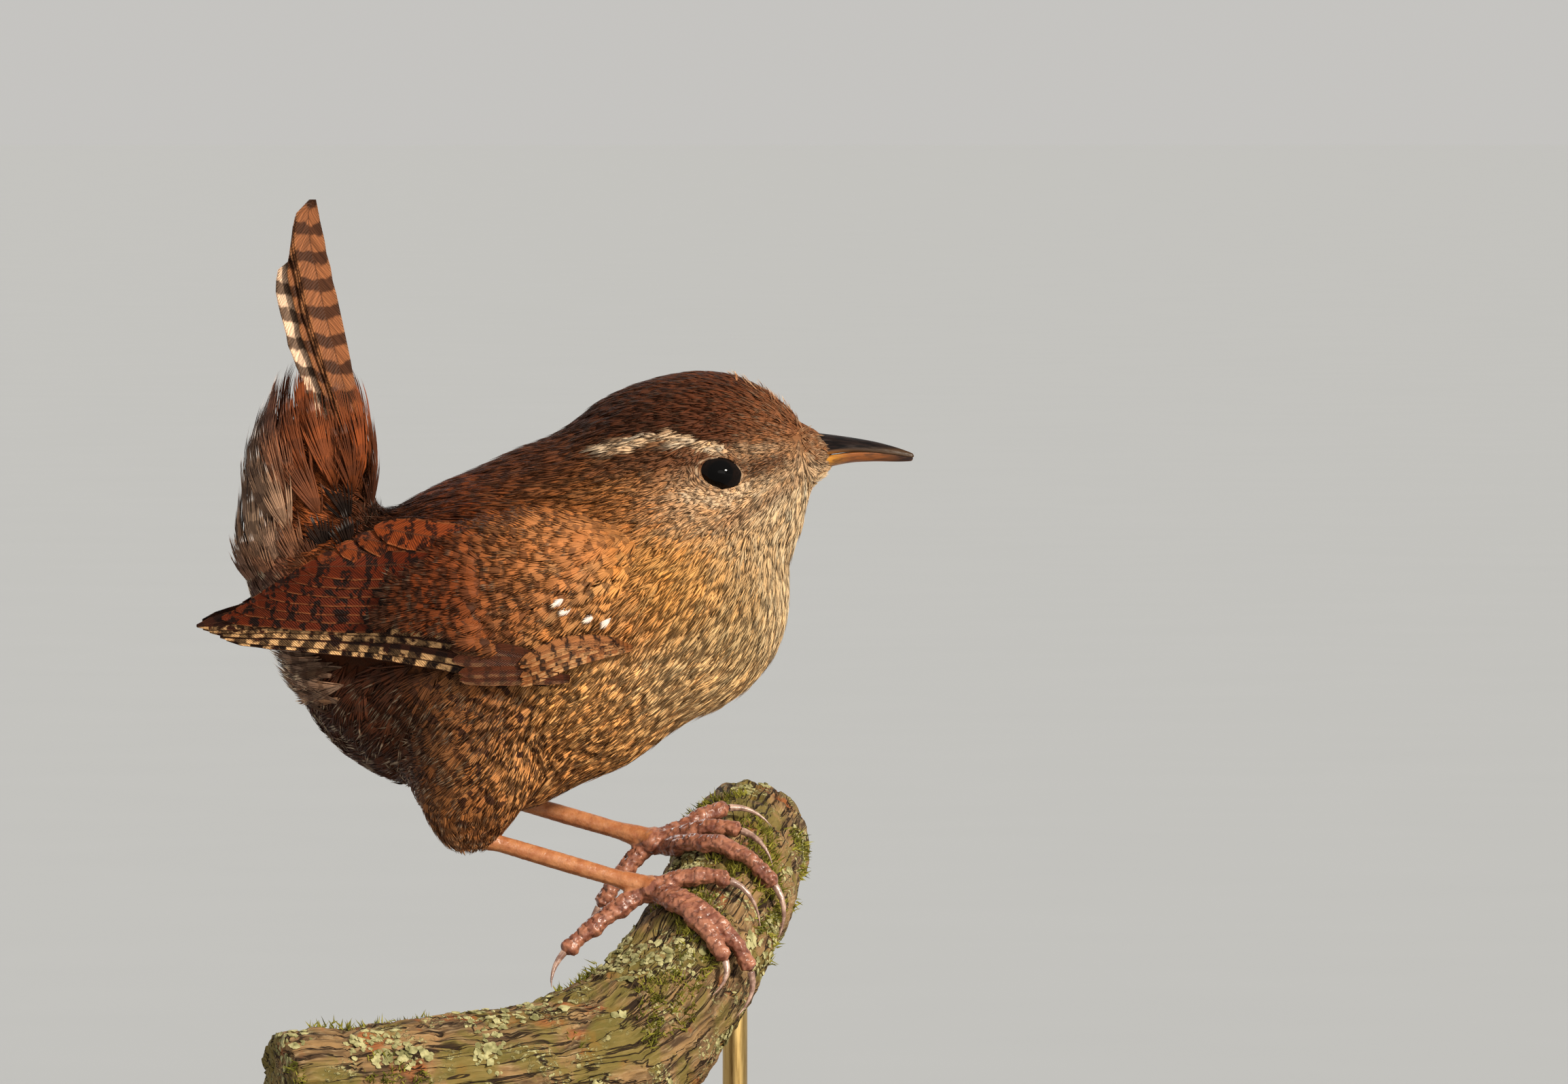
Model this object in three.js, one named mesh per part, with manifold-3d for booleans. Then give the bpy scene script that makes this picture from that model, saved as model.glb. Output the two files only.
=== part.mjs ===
// A Eurasian wren at life size, tail cocked, gripping a cut length of branch on a plain display stand.
// Millimetres, +Z up. The bird faces +X and its right side faces -Y. The origin is the middle of the base's underside.
import * as THREE from "three";
import { mergeVertices } from "three/addons/utils/BufferGeometryUtils.js";
import Module from "manifold-3d";

const wasm = await Module();
wasm.setup();

// Clearance kept between neighbouring pieces
const GAP = 0.3;
// How softly the rounded masses of the body run into one another
const BODY_BLEND = 1.1;
const DEGREE = Math.PI / 180;

// A rounded mass of the body in its median plane: its middle, half sizes and tilt, front end up
const mass = (x, z, along, across, up, tilt = 0) => ({ x, z, along, across, up, tilt: tilt * DEGREE });

const TRUNK_MASSES = [
  mass(-5, 68.6, 23.5, 15.6, 16.4, 13),
  mass(9.8, 70.6, 12.2, 13.2, 13.2),
  mass(-12, 76, 12, 12, 9.7, 15),
  mass(-25, 72, 10.4, 9.5, 8),
  mass(-22, 60.3, 12.4, 9, 7, -44),
];
const HEAD_MASSES = [
  mass(2.6, 79.3, 11, 10.5, 10.8),
  mass(13.4, 85.8, 12.1, 8.8, 10.2),
  mass(6.6, 84.7, 9, 8.6, 9.3),
  mass(18.4, 79.8, 7, 7, 7.4),
];
const BODY_MASSES = [...TRUNK_MASSES, ...HEAD_MASSES];
// The body's surface is drawn as rings about this line, from the vent to the bill
const BODY_REAR = new THREE.Vector3(-34, 0, 66);
const BODY_FRONT = new THREE.Vector3(26.5, 0, 86.5);
const BODY_RINGS = 28;
const BODY_SIDES = 28;

// The head and neck are parted from the trunk by slanting cuts from nape to throat
const CUT_SLOPE = 39 * DEGREE;
const HEAD_CUT = new THREE.Vector3(11, 0, 83);
const NECK_CUT = new THREE.Vector3(4.5, 0, 77);

const EYE_CENTRE = new THREE.Vector3(14.7, 6.5, 85.1);
const EYE_RADIUS = 2.9;
const LID_RADIUS = 0.42;

// Bill stations: x, top, bottom, half width
const UPPER_BILL = [
  [20.5, 89.6, 85.6, 2.2],
  [24.4, 89.5, 86.1, 1.95],
  [26.5, 89.2, 87.0, 1.7],
  [29.2, 88.8, 87.3, 1.3],
  [31.9, 88.3, 87.2, 0.95],
  [34.4, 87.6, 86.9, 0.5],
  [36.0, 86.95, 86.65, 0.15],
];
const LOWER_BILL = [
  [20.5, 85.2, 83.4, 2.2],
  [24.0, 85.7, 84.3, 1.9],
  [26.5, 86.4, 85.4, 1.55],
  [29.2, 86.8, 85.95, 1.15],
  [31.9, 86.85, 86.05, 0.8],
  [34.4, 86.5, 86.0, 0.42],
  [35.9, 86.3, 86.1, 0.12],
];
const NOSTRIL = { x: 26.6, z: 88.0, side: 1.75, length: 0.85, height: 0.3 };

// The tail's flame of coverts, and the tail feathers that stand in it
const COVERT_MASSES = [
  mass(-29.8, 77, 8.2, 8.2, 8),
  mass(-29.8, 85, 6.7, 6.9, 8),
  mass(-29.5, 91, 4.7, 6, 8),
];
const COVERT_CORE_MASSES = [mass(-29.8, 76, 7.2, 7.2, 8), mass(-29.8, 81.5, 5.2, 5.6, 6.5)];
const TAIL_PAIRS = 5;
const TAIL_ROOT_Z = 82;
const TAIL_TOP_Z = 114.6;
const TAIL_FEATHER_WIDTH = 5;

const VANE_THICKNESS = 0.5;
const VANE_RIDGE = 0.12;

function solidOf(geometry) {
  const bare = new THREE.BufferGeometry();
  const source = geometry.index ? geometry.toNonIndexed() : geometry;
  bare.setAttribute("position", source.getAttribute("position").clone());
  const merged = mergeVertices(bare, 1e-4);
  const points = merged.attributes.position.array;
  const faces = new Uint32Array(merged.index.array);
  if (signedVolume(points, faces) < 0) {
    for (let i = 0; i < faces.length; i += 3) [faces[i + 1], faces[i + 2]] = [faces[i + 2], faces[i + 1]];
  }
  return new wasm.Manifold(new wasm.Mesh({ numProp: 3, vertProperties: points, triVerts: faces }));
}

function signedVolume(points, faces) {
  const [a, b, c] = [new THREE.Vector3(), new THREE.Vector3(), new THREE.Vector3()];
  let sum = 0;
  for (let i = 0; i < faces.length; i += 3) {
    a.fromArray(points, 3 * faces[i]);
    b.fromArray(points, 3 * faces[i + 1]);
    c.fromArray(points, 3 * faces[i + 2]);
    sum += a.dot(b.cross(c));
  }
  return sum / 6;
}

function geometryOf(solid) {
  const mesh = solid.getMesh();
  const geometry = new THREE.BufferGeometry();
  const points = new Float32Array(mesh.numVert * 3);
  for (let i = 0; i < mesh.numVert; i++) {
    for (let k = 0; k < 3; k++) points[3 * i + k] = mesh.vertProperties[i * mesh.numProp + k];
  }
  geometry.setAttribute("position", new THREE.BufferAttribute(points, 3));
  geometry.setIndex(new THREE.BufferAttribute(new Uint32Array(mesh.triVerts), 1));
  return geometry.toNonIndexed();
}

const joined = (solids) => solids.reduce((whole, next) => whole.add(next));
const largest = (solid) => solid.decompose().reduce((a, b) => (b.volume() > a.volume() ? b : a));

// Faces are wound towards growing rows and columns, and solidOf turns them all if they point inwards
function geometryFrom(points, faces) {
  const geometry = new THREE.BufferGeometry();
  geometry.setAttribute("position", new THREE.Float32BufferAttribute(points.flatMap((p) => [p.x, p.y, p.z]), 3));
  geometry.setIndex(faces.flat());
  return geometry;
}

// A closed skin through rings of points, each end closed by one point
function ringGeometry(rings, first, last) {
  const sides = rings[0].length;
  const points = [first, ...rings.flat(), last];
  const at = (ring, side) => 1 + ring * sides + (side % sides);
  const faces = [];
  for (let s = 0; s < sides; s++) {
    faces.push([0, at(0, s + 1), at(0, s)]);
    faces.push([points.length - 1, at(rings.length - 1, s), at(rings.length - 1, s + 1)]);
    for (let r = 0; r < rings.length - 1; r++) {
      faces.push([at(r, s), at(r, s + 1), at(r + 1, s + 1)]);
      faces.push([at(r, s), at(r + 1, s + 1), at(r + 1, s)]);
    }
  }
  return geometryFrom(points, faces);
}

// Rough distance from a point to one mass, negative inside
function massDistance(m, p) {
  const [c, s] = [Math.cos(m.tilt), Math.sin(m.tilt)];
  const [dx, dz] = [p.x - m.x, p.z - m.z];
  const [u, v] = [dx * c + dz * s, -dx * s + dz * c];
  const near = Math.hypot(u / m.along, p.y / m.across, v / m.up);
  const steep = Math.hypot(u / m.along ** 2, p.y / m.across ** 2, v / m.up ** 2);
  return steep < 1e-9 ? -Math.min(m.along, m.across, m.up) : (near * (near - 1)) / steep;
}

// The soft union of several masses, as a distance
function fieldOf(masses, blend = BODY_BLEND) {
  return (p) => -blend * Math.log(masses.reduce((sum, m) => sum + Math.exp(-massDistance(m, p) / blend), 0));
}

// How far a ray runs from inside a field to its surface at that level
function reach(field, level, from, direction) {
  const STEP = 0.6;
  const probe = new THREE.Vector3();
  const inside = (d) => field(probe.copy(from).addScaledVector(direction, d)) < level;
  let far = STEP;
  while (inside(far) && far < 60) far += STEP;
  let near = far - STEP;
  for (let i = 0; i < 18; i++) {
    const middle = (near + far) / 2;
    if (inside(middle)) near = middle;
    else far = middle;
  }
  return near;
}

function slopeOf(field, p) {
  const H = 0.05;
  const at = (dx, dy, dz) => field(new THREE.Vector3(p.x + dx, p.y + dy, p.z + dz));
  return new THREE.Vector3(at(H, 0, 0) - at(-H, 0, 0), at(0, H, 0) - at(0, -H, 0), at(0, 0, H) - at(0, 0, -H))
    .multiplyScalar(0.5 / H);
}

// Moves a point along the field's slope until it lies at that level
function settle(field, p, level) {
  const q = p.clone();
  for (let i = 0; i < 5; i++) {
    const slope = slopeOf(field, q);
    q.addScaledVector(slope, (level - field(q)) / Math.max(slope.lengthSq(), 1e-6));
  }
  return q;
}

// The point where a ray from inside a field leaves it, or a point a little way out if it starts outside
function outTo(field, from, direction) {
  const OUTSIDE = 0.5;
  return from.clone().addScaledVector(direction, field(from) < 0 ? reach(field, 0, from, direction) : OUTSIDE);
}

function fieldSolid(field, level, rear, front, ringCount, sides) {
  const axis = front.clone().sub(rear).normalize();
  const across = new THREE.Vector3(0, 1, 0);
  const upward = new THREE.Vector3().crossVectors(across, axis);
  const middle = rear.clone().add(front).multiplyScalar(0.5);
  const ahead = reach(field, level, middle, axis);
  const behind = reach(field, level, middle, axis.clone().negate());
  const rings = [];
  for (let r = 1; r <= ringCount; r++) {
    const even = r / (ringCount + 1);
    const rounded = (1 - Math.cos(Math.PI * even)) / 2;
    const along = -behind + (ahead + behind) * (0.35 * even + 0.65 * rounded);
    const centre = middle.clone().addScaledVector(axis, along);
    const ring = [];
    for (let s = 0; s < sides; s++) {
      const angle = (2 * Math.PI * s) / sides;
      const direction = across.clone().multiplyScalar(Math.sin(angle)).addScaledVector(upward, Math.cos(angle));
      ring.push(centre.clone().addScaledVector(direction, reach(field, level, centre, direction)));
    }
    rings.push(ring);
  }
  const first = middle.clone().addScaledVector(axis, -behind);
  const last = middle.clone().addScaledVector(axis, ahead);
  return solidOf(ringGeometry(rings, first, last));
}

// A tube through points with a radius at each, its ends closed by a point a little further on
function tubeSolid(points, radii, sides, endShare = 0.5) {
  const rings = [];
  const tangentAt = (i) => {
    const before = points[Math.max(i - 1, 0)];
    const after = points[Math.min(i + 1, points.length - 1)];
    return after.clone().sub(before).normalize();
  };
  let side = new THREE.Vector3(0, 1, 0);
  for (let i = 0; i < points.length; i++) {
    const tangent = tangentAt(i);
    if (Math.abs(side.dot(tangent)) > 0.95) side = new THREE.Vector3(1, 0, 0);
    side = side.clone().addScaledVector(tangent, -side.dot(tangent)).normalize();
    const other = new THREE.Vector3().crossVectors(tangent, side);
    const ring = [];
    for (let s = 0; s < sides; s++) {
      const angle = (2 * Math.PI * s) / sides;
      ring.push(points[i].clone()
        .addScaledVector(side, radii[i] * Math.cos(angle))
        .addScaledVector(other, radii[i] * Math.sin(angle)));
    }
    rings.push(ring);
  }
  const end = points.length - 1;
  const first = points[0].clone().addScaledVector(tangentAt(0), -endShare * radii[0]);
  const last = points[end].clone().addScaledVector(tangentAt(end), endShare * radii[end]);
  return solidOf(ringGeometry(rings, first, last));
}

// A feather vane through sections, each of which has its middle, the way across and the way out
function vaneSolid(sections) {
  const points = [];
  for (const { centre, across, outward, half, thickness, ridge } of sections) {
    const place = (side, up) => centre.clone().addScaledVector(across, side * half).addScaledVector(outward, up);
    points.push(place(-1, thickness), place(0, thickness + ridge), place(1, thickness));
    points.push(place(1, 0), place(0, ridge), place(-1, 0));
  }
  const faces = [];
  const at = (row, column) => row * 6 + column;
  for (let r = 0; r < sections.length - 1; r++) {
    for (const [a, b] of [[0, 1], [1, 2], [2, 3], [5, 0]]) {
      faces.push([at(r, a), at(r, b), at(r + 1, b)]);
      faces.push([at(r, a), at(r + 1, b), at(r + 1, a)]);
    }
    for (const [a, b] of [[5, 4], [4, 3]]) {
      faces.push([at(r, a), at(r + 1, b), at(r, b)]);
      faces.push([at(r, a), at(r + 1, a), at(r + 1, b)]);
    }
  }
  const cap = (row, turned) => [[0, 5, 4], [0, 4, 1], [1, 4, 3], [1, 3, 2]]
    .map(([a, b, c]) => (turned ? [at(row, a), at(row, c), at(row, b)] : [at(row, a), at(row, b), at(row, c)]));
  faces.push(...cap(0, false), ...cap(sections.length - 1, true));
  return solidOf(geometryFrom(points, faces));
}

// Share of a vane's half width along its length, for long feathers and for short ones
const LONG_OUTLINE = [[0, 0.6], [0.4, 1], [0.84, 0.86], [1, 0.24]];
const SHORT_OUTLINE = [[0, 0.6], [0.62, 1], [1, 0.3]];

// A vane that lies along a field's surface, from root to tip as seen from the side
function lyingVane(field, { root, tip, width, level, bow, side, outline }) {
  const start = new THREE.Vector3(root[0], 0, root[1]);
  const end = new THREE.Vector3(tip[0], 0, tip[1]);
  const along = end.clone().sub(start);
  const beside = new THREE.Vector3(-along.z, 0, along.x).normalize();
  const onSurface = (t) => {
    const p = start.clone().lerp(end, t).addScaledVector(beside, bow * Math.sin(Math.PI * t));
    const out = new THREE.Vector3(0, side, 0);
    return settle(field, outTo(field, p, out), level);
  };
  return vaneSolid(outline.map(([t, share]) => {
    const centre = onSurface(t);
    const outward = slopeOf(field, centre).normalize();
    const forward = onSurface(Math.min(t + 0.03, 1.03)).sub(onSurface(t - 0.03));
    const across = new THREE.Vector3().crossVectors(outward, forward).normalize();
    return { centre, across, outward, half: (width / 2) * share, thickness: VANE_THICKNESS, ridge: VANE_RIDGE };
  }));
}

const bodyField = fieldOf(BODY_MASSES);
const covertField = fieldOf(COVERT_MASSES, 1.5);
const covertCoreField = fieldOf(COVERT_CORE_MASSES, 1.5);

const bodySolid = (level) => fieldSolid(bodyField, level, BODY_REAR, BODY_FRONT, BODY_RINGS, BODY_SIDES);
const wholeBody = bodySolid(0);
const bodyClearance = bodySolid(GAP);

// Everything beyond a slanting cut, seen from the trunk
function beyond(cut, shift) {
  const SIZE = 120;
  const slab = new THREE.BoxGeometry(SIZE, SIZE, SIZE).translate(0, 0, SIZE / 2 + shift);
  slab.rotateY(CUT_SLOPE).translate(cut.x, cut.y, cut.z);
  return solidOf(slab);
}

function ball(centre, radius, across = 16, around = 10) {
  return solidOf(new THREE.SphereGeometry(radius, across, around).rotateX(Math.PI / 2).translate(centre.x, centre.y, centre.z));
}

const mirrored = (point, side) => new THREE.Vector3(point.x, point.y * side, point.z);

// The bare trunk, the neck between its two cuts, and the head
const trunk = largest(wholeBody.subtract(beyond(NECK_CUT, -GAP / 2)));
const neck = largest(wholeBody.intersect(beyond(NECK_CUT, GAP / 2)).subtract(beyond(HEAD_CUT, -GAP / 2)));

function eyeAxis(side) {
  return new THREE.Vector3(0.2, side, 0.06).normalize();
}

function headSolid() {
  let head = wholeBody.intersect(beyond(HEAD_CUT, GAP / 2));
  for (const side of [-1, 1]) {
    const centre = mirrored(EYE_CENTRE, side);
    const turn = new THREE.Quaternion().setFromUnitVectors(new THREE.Vector3(0, 0, 1), eyeAxis(side));
    const LID_OUT = 1.75;
    const ring = new THREE.TorusGeometry(EYE_RADIUS * 0.83, LID_RADIUS, 6, 18)
      .scale(1.0, 0.8, 1.0)
      .applyQuaternion(turn)
      .translate(centre.x, centre.y, centre.z)
      .translate(...eyeAxis(side).multiplyScalar(LID_OUT).toArray());
    head = head.add(solidOf(ring)).subtract(ball(centre, EYE_RADIUS + GAP));
  }
  return largest(head);
}

function billSection([x, top, bottom, half], up) {
  const rise = top - bottom;
  const flat = up ? bottom : top;
  const sign = up ? 1 : -1;
  const profile = [[-1, 0], [-0.95, 0.4], [-0.6, 0.82], [0, 1], [0.6, 0.82], [0.95, 0.4], [1, 0], [0, 0.12]];
  return profile.map(([across, share]) => new THREE.Vector3(x, across * half, flat + sign * share * rise));
}

function billSolid(stations, up) {
  const rings = stations.map((station) => billSection(station, up));
  const [first, last] = [stations[0], stations[stations.length - 1]];
  const pole = ([x, top, bottom], shift) => new THREE.Vector3(x + shift, 0, (top + bottom) / 2);
  return solidOf(ringGeometry(rings, pole(first, -0.2), pole(last, 0.15))).subtract(bodyClearance);
}

function upperBill() {
  let bill = billSolid(UPPER_BILL, true);
  for (const side of [-1, 1]) {
    const pit = new THREE.SphereGeometry(1, 10, 8).scale(NOSTRIL.length, 0.35, NOSTRIL.height).rotateY(0.15);
    bill = bill.subtract(solidOf(pit.translate(NOSTRIL.x, side * NOSTRIL.side, NOSTRIL.z)));
  }
  return largest(bill);
}

// Tail feathers, the middle pair foremost and longest, each pair outside it further back and shorter
const TAIL_SHORTER = [0, 0.4, 1.3, 3.2, 6.2];
const TAIL_OUTLINE = [[0, 0.42], [0.25, 0.66], [0.6, 1], [0.9, 0.85], [1, 0.22]];
const TAIL_BLOCK = mass(-26.9, 82.6, 3.3, 2.9, 3);

function tailFeather(pair, side) {
  const [INNER_EDGE, SPREAD, BOW, NARROWEST] = [0.25, 0.55, 0.7, 1.3];
  const root = new THREE.Vector3(-24.2 - 1.25 * pair, 0, TAIL_ROOT_Z);
  const tip = new THREE.Vector3(-29.4 - 0.62 * pair, 0, TAIL_TOP_Z - TAIL_SHORTER[pair]);
  const roof = (5 + 2 * pair) * DEGREE;
  const across = new THREE.Vector3(-Math.sin(roof), side * Math.cos(roof), 0);
  const outward = new THREE.Vector3(Math.cos(roof), side * Math.sin(roof), 0.12).normalize();
  return vaneSolid(TAIL_OUTLINE.map(([t, share]) => {
    const half = (TAIL_FEATHER_WIDTH / 2) * share;
    const beside = INNER_EDGE + Math.max(half, NARROWEST) + SPREAD * pair * t;
    const centre = root.clone().lerp(tip, t).addScaledVector(across, beside).addScaledVector(outward, BOW * Math.sin(Math.PI * t));
    return { centre, across, outward, half, thickness: VANE_THICKNESS, ridge: VANE_RIDGE };
  }));
}

function blobSolid(m) {
  const blob = new THREE.SphereGeometry(1, 14, 10).scale(m.along, m.across, m.up);
  return solidOf(blob.translate(m.x, 0, m.z));
}

function tailSolid() {
  const feathers = [blobSolid(TAIL_BLOCK)];
  for (let pair = 0; pair < TAIL_PAIRS; pair++) {
    for (const side of [-1, 1]) feathers.push(tailFeather(pair, side));
  }
  return largest(joined(feathers).subtract(bodyClearance));
}

// The room that the tail feathers and their root take inside the coverts: z, x, half depth, half width
const TAIL_ROOM = [
  [79, -26.9, 2.6, 2.2],
  [81, -26.9, 3.9, 3.2],
  [84, -27.2, 4.3, 4],
  [90, -27.8, 4.4, 5.2],
  [96, -28.7, 4.5, 6.7],
  [102, -29.6, 4.5, 7.5],
];

function tailRoom() {
  const [SIDES, SQUARENESS] = [12, 0.45];
  const squared = (v) => Math.sign(v) * Math.abs(v) ** SQUARENESS;
  const rings = TAIL_ROOM.map(([z, x, deep, wide]) => Array.from({ length: SIDES }, (_, s) => {
    const angle = (2 * Math.PI * s) / SIDES;
    return new THREE.Vector3(x + deep * squared(Math.cos(angle)), wide * squared(Math.sin(angle)), z);
  }));
  const [[lowZ, lowX], [highZ, highX]] = [TAIL_ROOM[0], TAIL_ROOM[TAIL_ROOM.length - 1]];
  return solidOf(ringGeometry(rings, new THREE.Vector3(lowX, 0, lowZ - 0.4), new THREE.Vector3(highX, 0, highZ + 0.4)));
}

// Tiers of tail coverts from the highest down: how many, how far turned, heights, width and level
const COVERT_TIERS = [
  { count: 7, turn: 0, root: 83, tip: 97.5, width: 4.3, level: -1.8, lift: 1.2 },
  { count: 7, turn: 0.5, root: 78, tip: 91.5, width: 5.1, level: -1.5, lift: 1.2 },
  { count: 7, turn: 0, root: 73, tip: 85.5, width: 6.3, level: -1.2, lift: 1.2 },
];

function covertVane(tier, index) {
  const angle = (2 * Math.PI * (index + tier.turn)) / tier.count;
  const out = new THREE.Vector3(Math.cos(angle), Math.sin(angle), 0);
  const onFlame = (t) => {
    const spine = new THREE.Vector3(COVERT_MASSES[0].x, 0, tier.root + (tier.tip - tier.root) * t);
    return settle(covertField, outTo(covertField, spine, out), tier.level + tier.lift * t - VANE_THICKNESS);
  };
  return vaneSolid(LONG_OUTLINE.map(([t, share]) => {
    const centre = onFlame(t);
    const outward = slopeOf(covertField, centre).normalize();
    const forward = onFlame(Math.min(t + 0.03, 1)).sub(onFlame(t - 0.03));
    const across = new THREE.Vector3().crossVectors(outward, forward).normalize();
    return { centre, across, outward, half: (tier.width / 2) * share, thickness: VANE_THICKNESS, ridge: VANE_RIDGE };
  }));
}

function tailCoverts() {
  const [foot, top] = [new THREE.Vector3(-29.8, 0, 70), new THREE.Vector3(-29.8, 0, 87)];
  const core = fieldSolid(covertCoreField, 0, foot, top, 8, 14);
  const vanes = COVERT_TIERS.flatMap((tier) => Array.from({ length: tier.count }, (_, i) => covertVane(tier, i)));
  return largest(joined([core, ...vanes]).subtract(tailRoom()).subtract(bodyClearance));
}

// The surface that the folded wings lie on: the trunk, the tail's foot and a taper towards the wing tips
const wingField = fieldOf([...TRUNK_MASSES, mass(-29.5, 73, 8, 7.6, 8), mass(-24, 67.5, 25, 8.6, 9, 4)], 1.4);

// The shoulder and small coverts of a folded wing, seen from the side
const WING_PAD = { x: -7.2, z: 71.8, long: 12.8, high: 8.4, tilt: 6 * DEGREE, rim: 0.75, crown: 2.1 };

function wingPad(side) {
  const [ROWS, SIDES] = [3, 16];
  const out = new THREE.Vector3(0, side, 0);
  const spot = (share, angle, level) => {
    const [u, v] = [WING_PAD.long * share * Math.cos(angle), WING_PAD.high * share * Math.sin(angle)];
    const [c, s] = [Math.cos(WING_PAD.tilt), Math.sin(WING_PAD.tilt)];
    const middle = new THREE.Vector3(WING_PAD.x + u * c - v * s, 0, WING_PAD.z + u * s + v * c);
    return settle(wingField, outTo(wingField, middle, out), level);
  };
  const ringAt = (share, level) => Array.from({ length: SIDES }, (_, s) => spot(share, (2 * Math.PI * s) / SIDES, level));
  const { rim, crown } = WING_PAD;
  const rings = [];
  for (let r = 1; r <= ROWS; r++) rings.push(ringAt(r / ROWS, rim + (crown - rim) * (1 - (r / ROWS) ** 2)));
  for (let r = ROWS; r >= 1; r--) rings.push(ringAt(r / ROWS, GAP));
  return solidOf(ringGeometry(rings, spot(0, 0, crown), spot(0, 0, GAP)));
}

// Rows of wing feathers from the lowest up. Roots are the first and last feather's, tips are each feather's
const WING_ROWS = {
  primaries: { roots: [[-4.4, 64.6], [-7.5, 67.6]], width: 3.4, level: 0.35, step: 0.16, bow: -0.4,
    outline: LONG_OUTLINE, tips: [[-37.5, 65.0], [-41, 65.4], [-43.5, 66.2], [-42, 67.7], [-39.6, 69.2]] },
  secondaries: { roots: [[-8.5, 68.6], [-10.5, 71]], width: 3.8, level: 1.05, step: 0.2, bow: -0.3,
    outline: LONG_OUTLINE, tips: [[-37.2, 70.4], [-34.8, 72], [-32.2, 73.4]] },
  tertials: { roots: [[-11, 71.4], [-12.5, 75.2]], width: 5.2, level: 1.4, step: 0.2, bow: 0.6,
    outline: LONG_OUTLINE, tips: [[-31, 73.9], [-27.4, 76.2], [-23.6, 78.4]] },
  primaryCoverts: { roots: [[1.2, 65], [0.6, 66.6]], width: 2.6, level: 0.9, step: 0.2, bow: -0.5,
    outline: SHORT_OUTLINE, tips: [[-12, 64.4], [-10, 66.2]] },
  greaterCoverts: { roots: [[-4, 67.2], [-10, 74.2]], width: 3.9, level: 1.7, step: 0.06, bow: -0.3,
    outline: SHORT_OUTLINE, tips: [[-13.6, 66.8], [-15, 69], [-16.6, 71.3], [-18, 73.8]] },
  medianCoverts: { roots: [[-1, 68.6], [-5.5, 75]], width: 3.8, level: 2.0, step: 0.05, bow: -0.3,
    outline: SHORT_OUTLINE, tips: [[-8.4, 68.2], [-9.8, 70.6], [-11.4, 73.2]] },
};

function wingSolid(side) {
  const vanes = Object.values(WING_ROWS).flatMap(({ roots, tips, level, step, ...form }) => tips.map((tip, i) => {
    const share = i / (tips.length - 1);
    const root = roots[0].map((start, k) => start + (roots[1][k] - start) * share);
    return lyingVane(wingField, { ...form, root, tip, side, level: level + step * i });
  }));
  return largest(joined([wingPad(side), ...vanes]).subtract(bodyClearance));
}

// The branch: a bent limb that comes from the near left and runs away to the far right; x, y, z and radius
const PERCH_AXIS = [
  [-32, -34.5, 18.6, 7.6],
  [-23, -31.5, 19, 7.7],
  [-14, -27.5, 19.4, 7.9],
  [-6, -22.8, 20, 8.4],
  [1, -17.6, 21.2, 8.8],
  [6, -13, 24.2, 8.5],
  [9.7, -9.3, 28.2, 7.9],
  [12.2, -5.4, 32.2, 7.5],
  [14.2, 0.4, 35.5, 7.3],
  [15.6, 7, 38.2, 7.3],
  [16.7, 15, 40.6, 7.2],
  [17.5, 23, 42.6, 7.1],
  [17.8, 27, 43.5, 6.7],
];
const PERCH_STEPS = 25;
const PERCH_SIDES = 16;
const BARK_DEPTH = 0.28;

const perchCurve = new THREE.CatmullRomCurve3(PERCH_AXIS.map(([x, y, z]) => new THREE.Vector3(x, y, z)));

function perchRadius(share) {
  const place = share * (PERCH_AXIS.length - 1);
  const i = Math.min(Math.floor(place), PERCH_AXIS.length - 2);
  return PERCH_AXIS[i][3] + (PERCH_AXIS[i + 1][3] - PERCH_AXIS[i][3]) * (place - i);
}

// Low swellings of the bark
const barkAt = (share, angle) => BARK_DEPTH * (
  0.5 * Math.sin(5 * angle + 9 * share) + 0.4 * Math.sin(3 * angle - 31 * share) + 0.4 * Math.sin(47 * share + 2 * angle));

function perchBlank() {
  const upright = new THREE.Vector3(0, 0, 1);
  const rings = [];
  for (let i = 0; i <= PERCH_STEPS; i++) {
    const share = i / PERCH_STEPS;
    const centre = perchCurve.getPoint(share);
    const tangent = perchCurve.getTangent(share);
    const up = upright.clone().addScaledVector(tangent, -upright.dot(tangent)).normalize();
    const beside = new THREE.Vector3().crossVectors(tangent, up);
    rings.push(Array.from({ length: PERCH_SIDES }, (_, s) => {
      const angle = (2 * Math.PI * s) / PERCH_SIDES;
      const radius = perchRadius(share) + barkAt(share, angle);
      return centre.clone().addScaledVector(up, radius * Math.cos(angle)).addScaledVector(beside, radius * Math.sin(angle));
    }));
  }
  return solidOf(ringGeometry(rings, perchCurve.getPoint(0), perchCurve.getPoint(1)));
}

const PERCH_SPINE = Array.from({ length: 201 }, (_, i) => {
  const share = i / 200;
  return { on: perchCurve.getPoint(share), radius: perchRadius(share) };
});

const nearestOnSpine = (p) => PERCH_SPINE.reduce((best, next) =>
  (next.on.distanceToSquared(p) < best.on.distanceToSquared(p) ? next : best));

// Pushes a point out of the branch until it is that far from the bark
function clearOfBark(p, clearance) {
  const { on, radius } = nearestOnSpine(p);
  const away = p.clone().sub(on);
  return on.clone().addScaledVector(away.normalize(), Math.max(p.distanceTo(on), radius + clearance));
}

const TARSUS_RADIUS = 0.92;
const TOE_RADIUS = 1.0;
const TOE_CLEARANCE = TOE_RADIUS + GAP + 0.1;
const CLAW_RADIUS = 0.5;

const spotAt = (x, y, z) => new THREE.Vector3(x, y, z);
const toe = (name, end, claw) => ({ name, end, claw });

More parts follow.
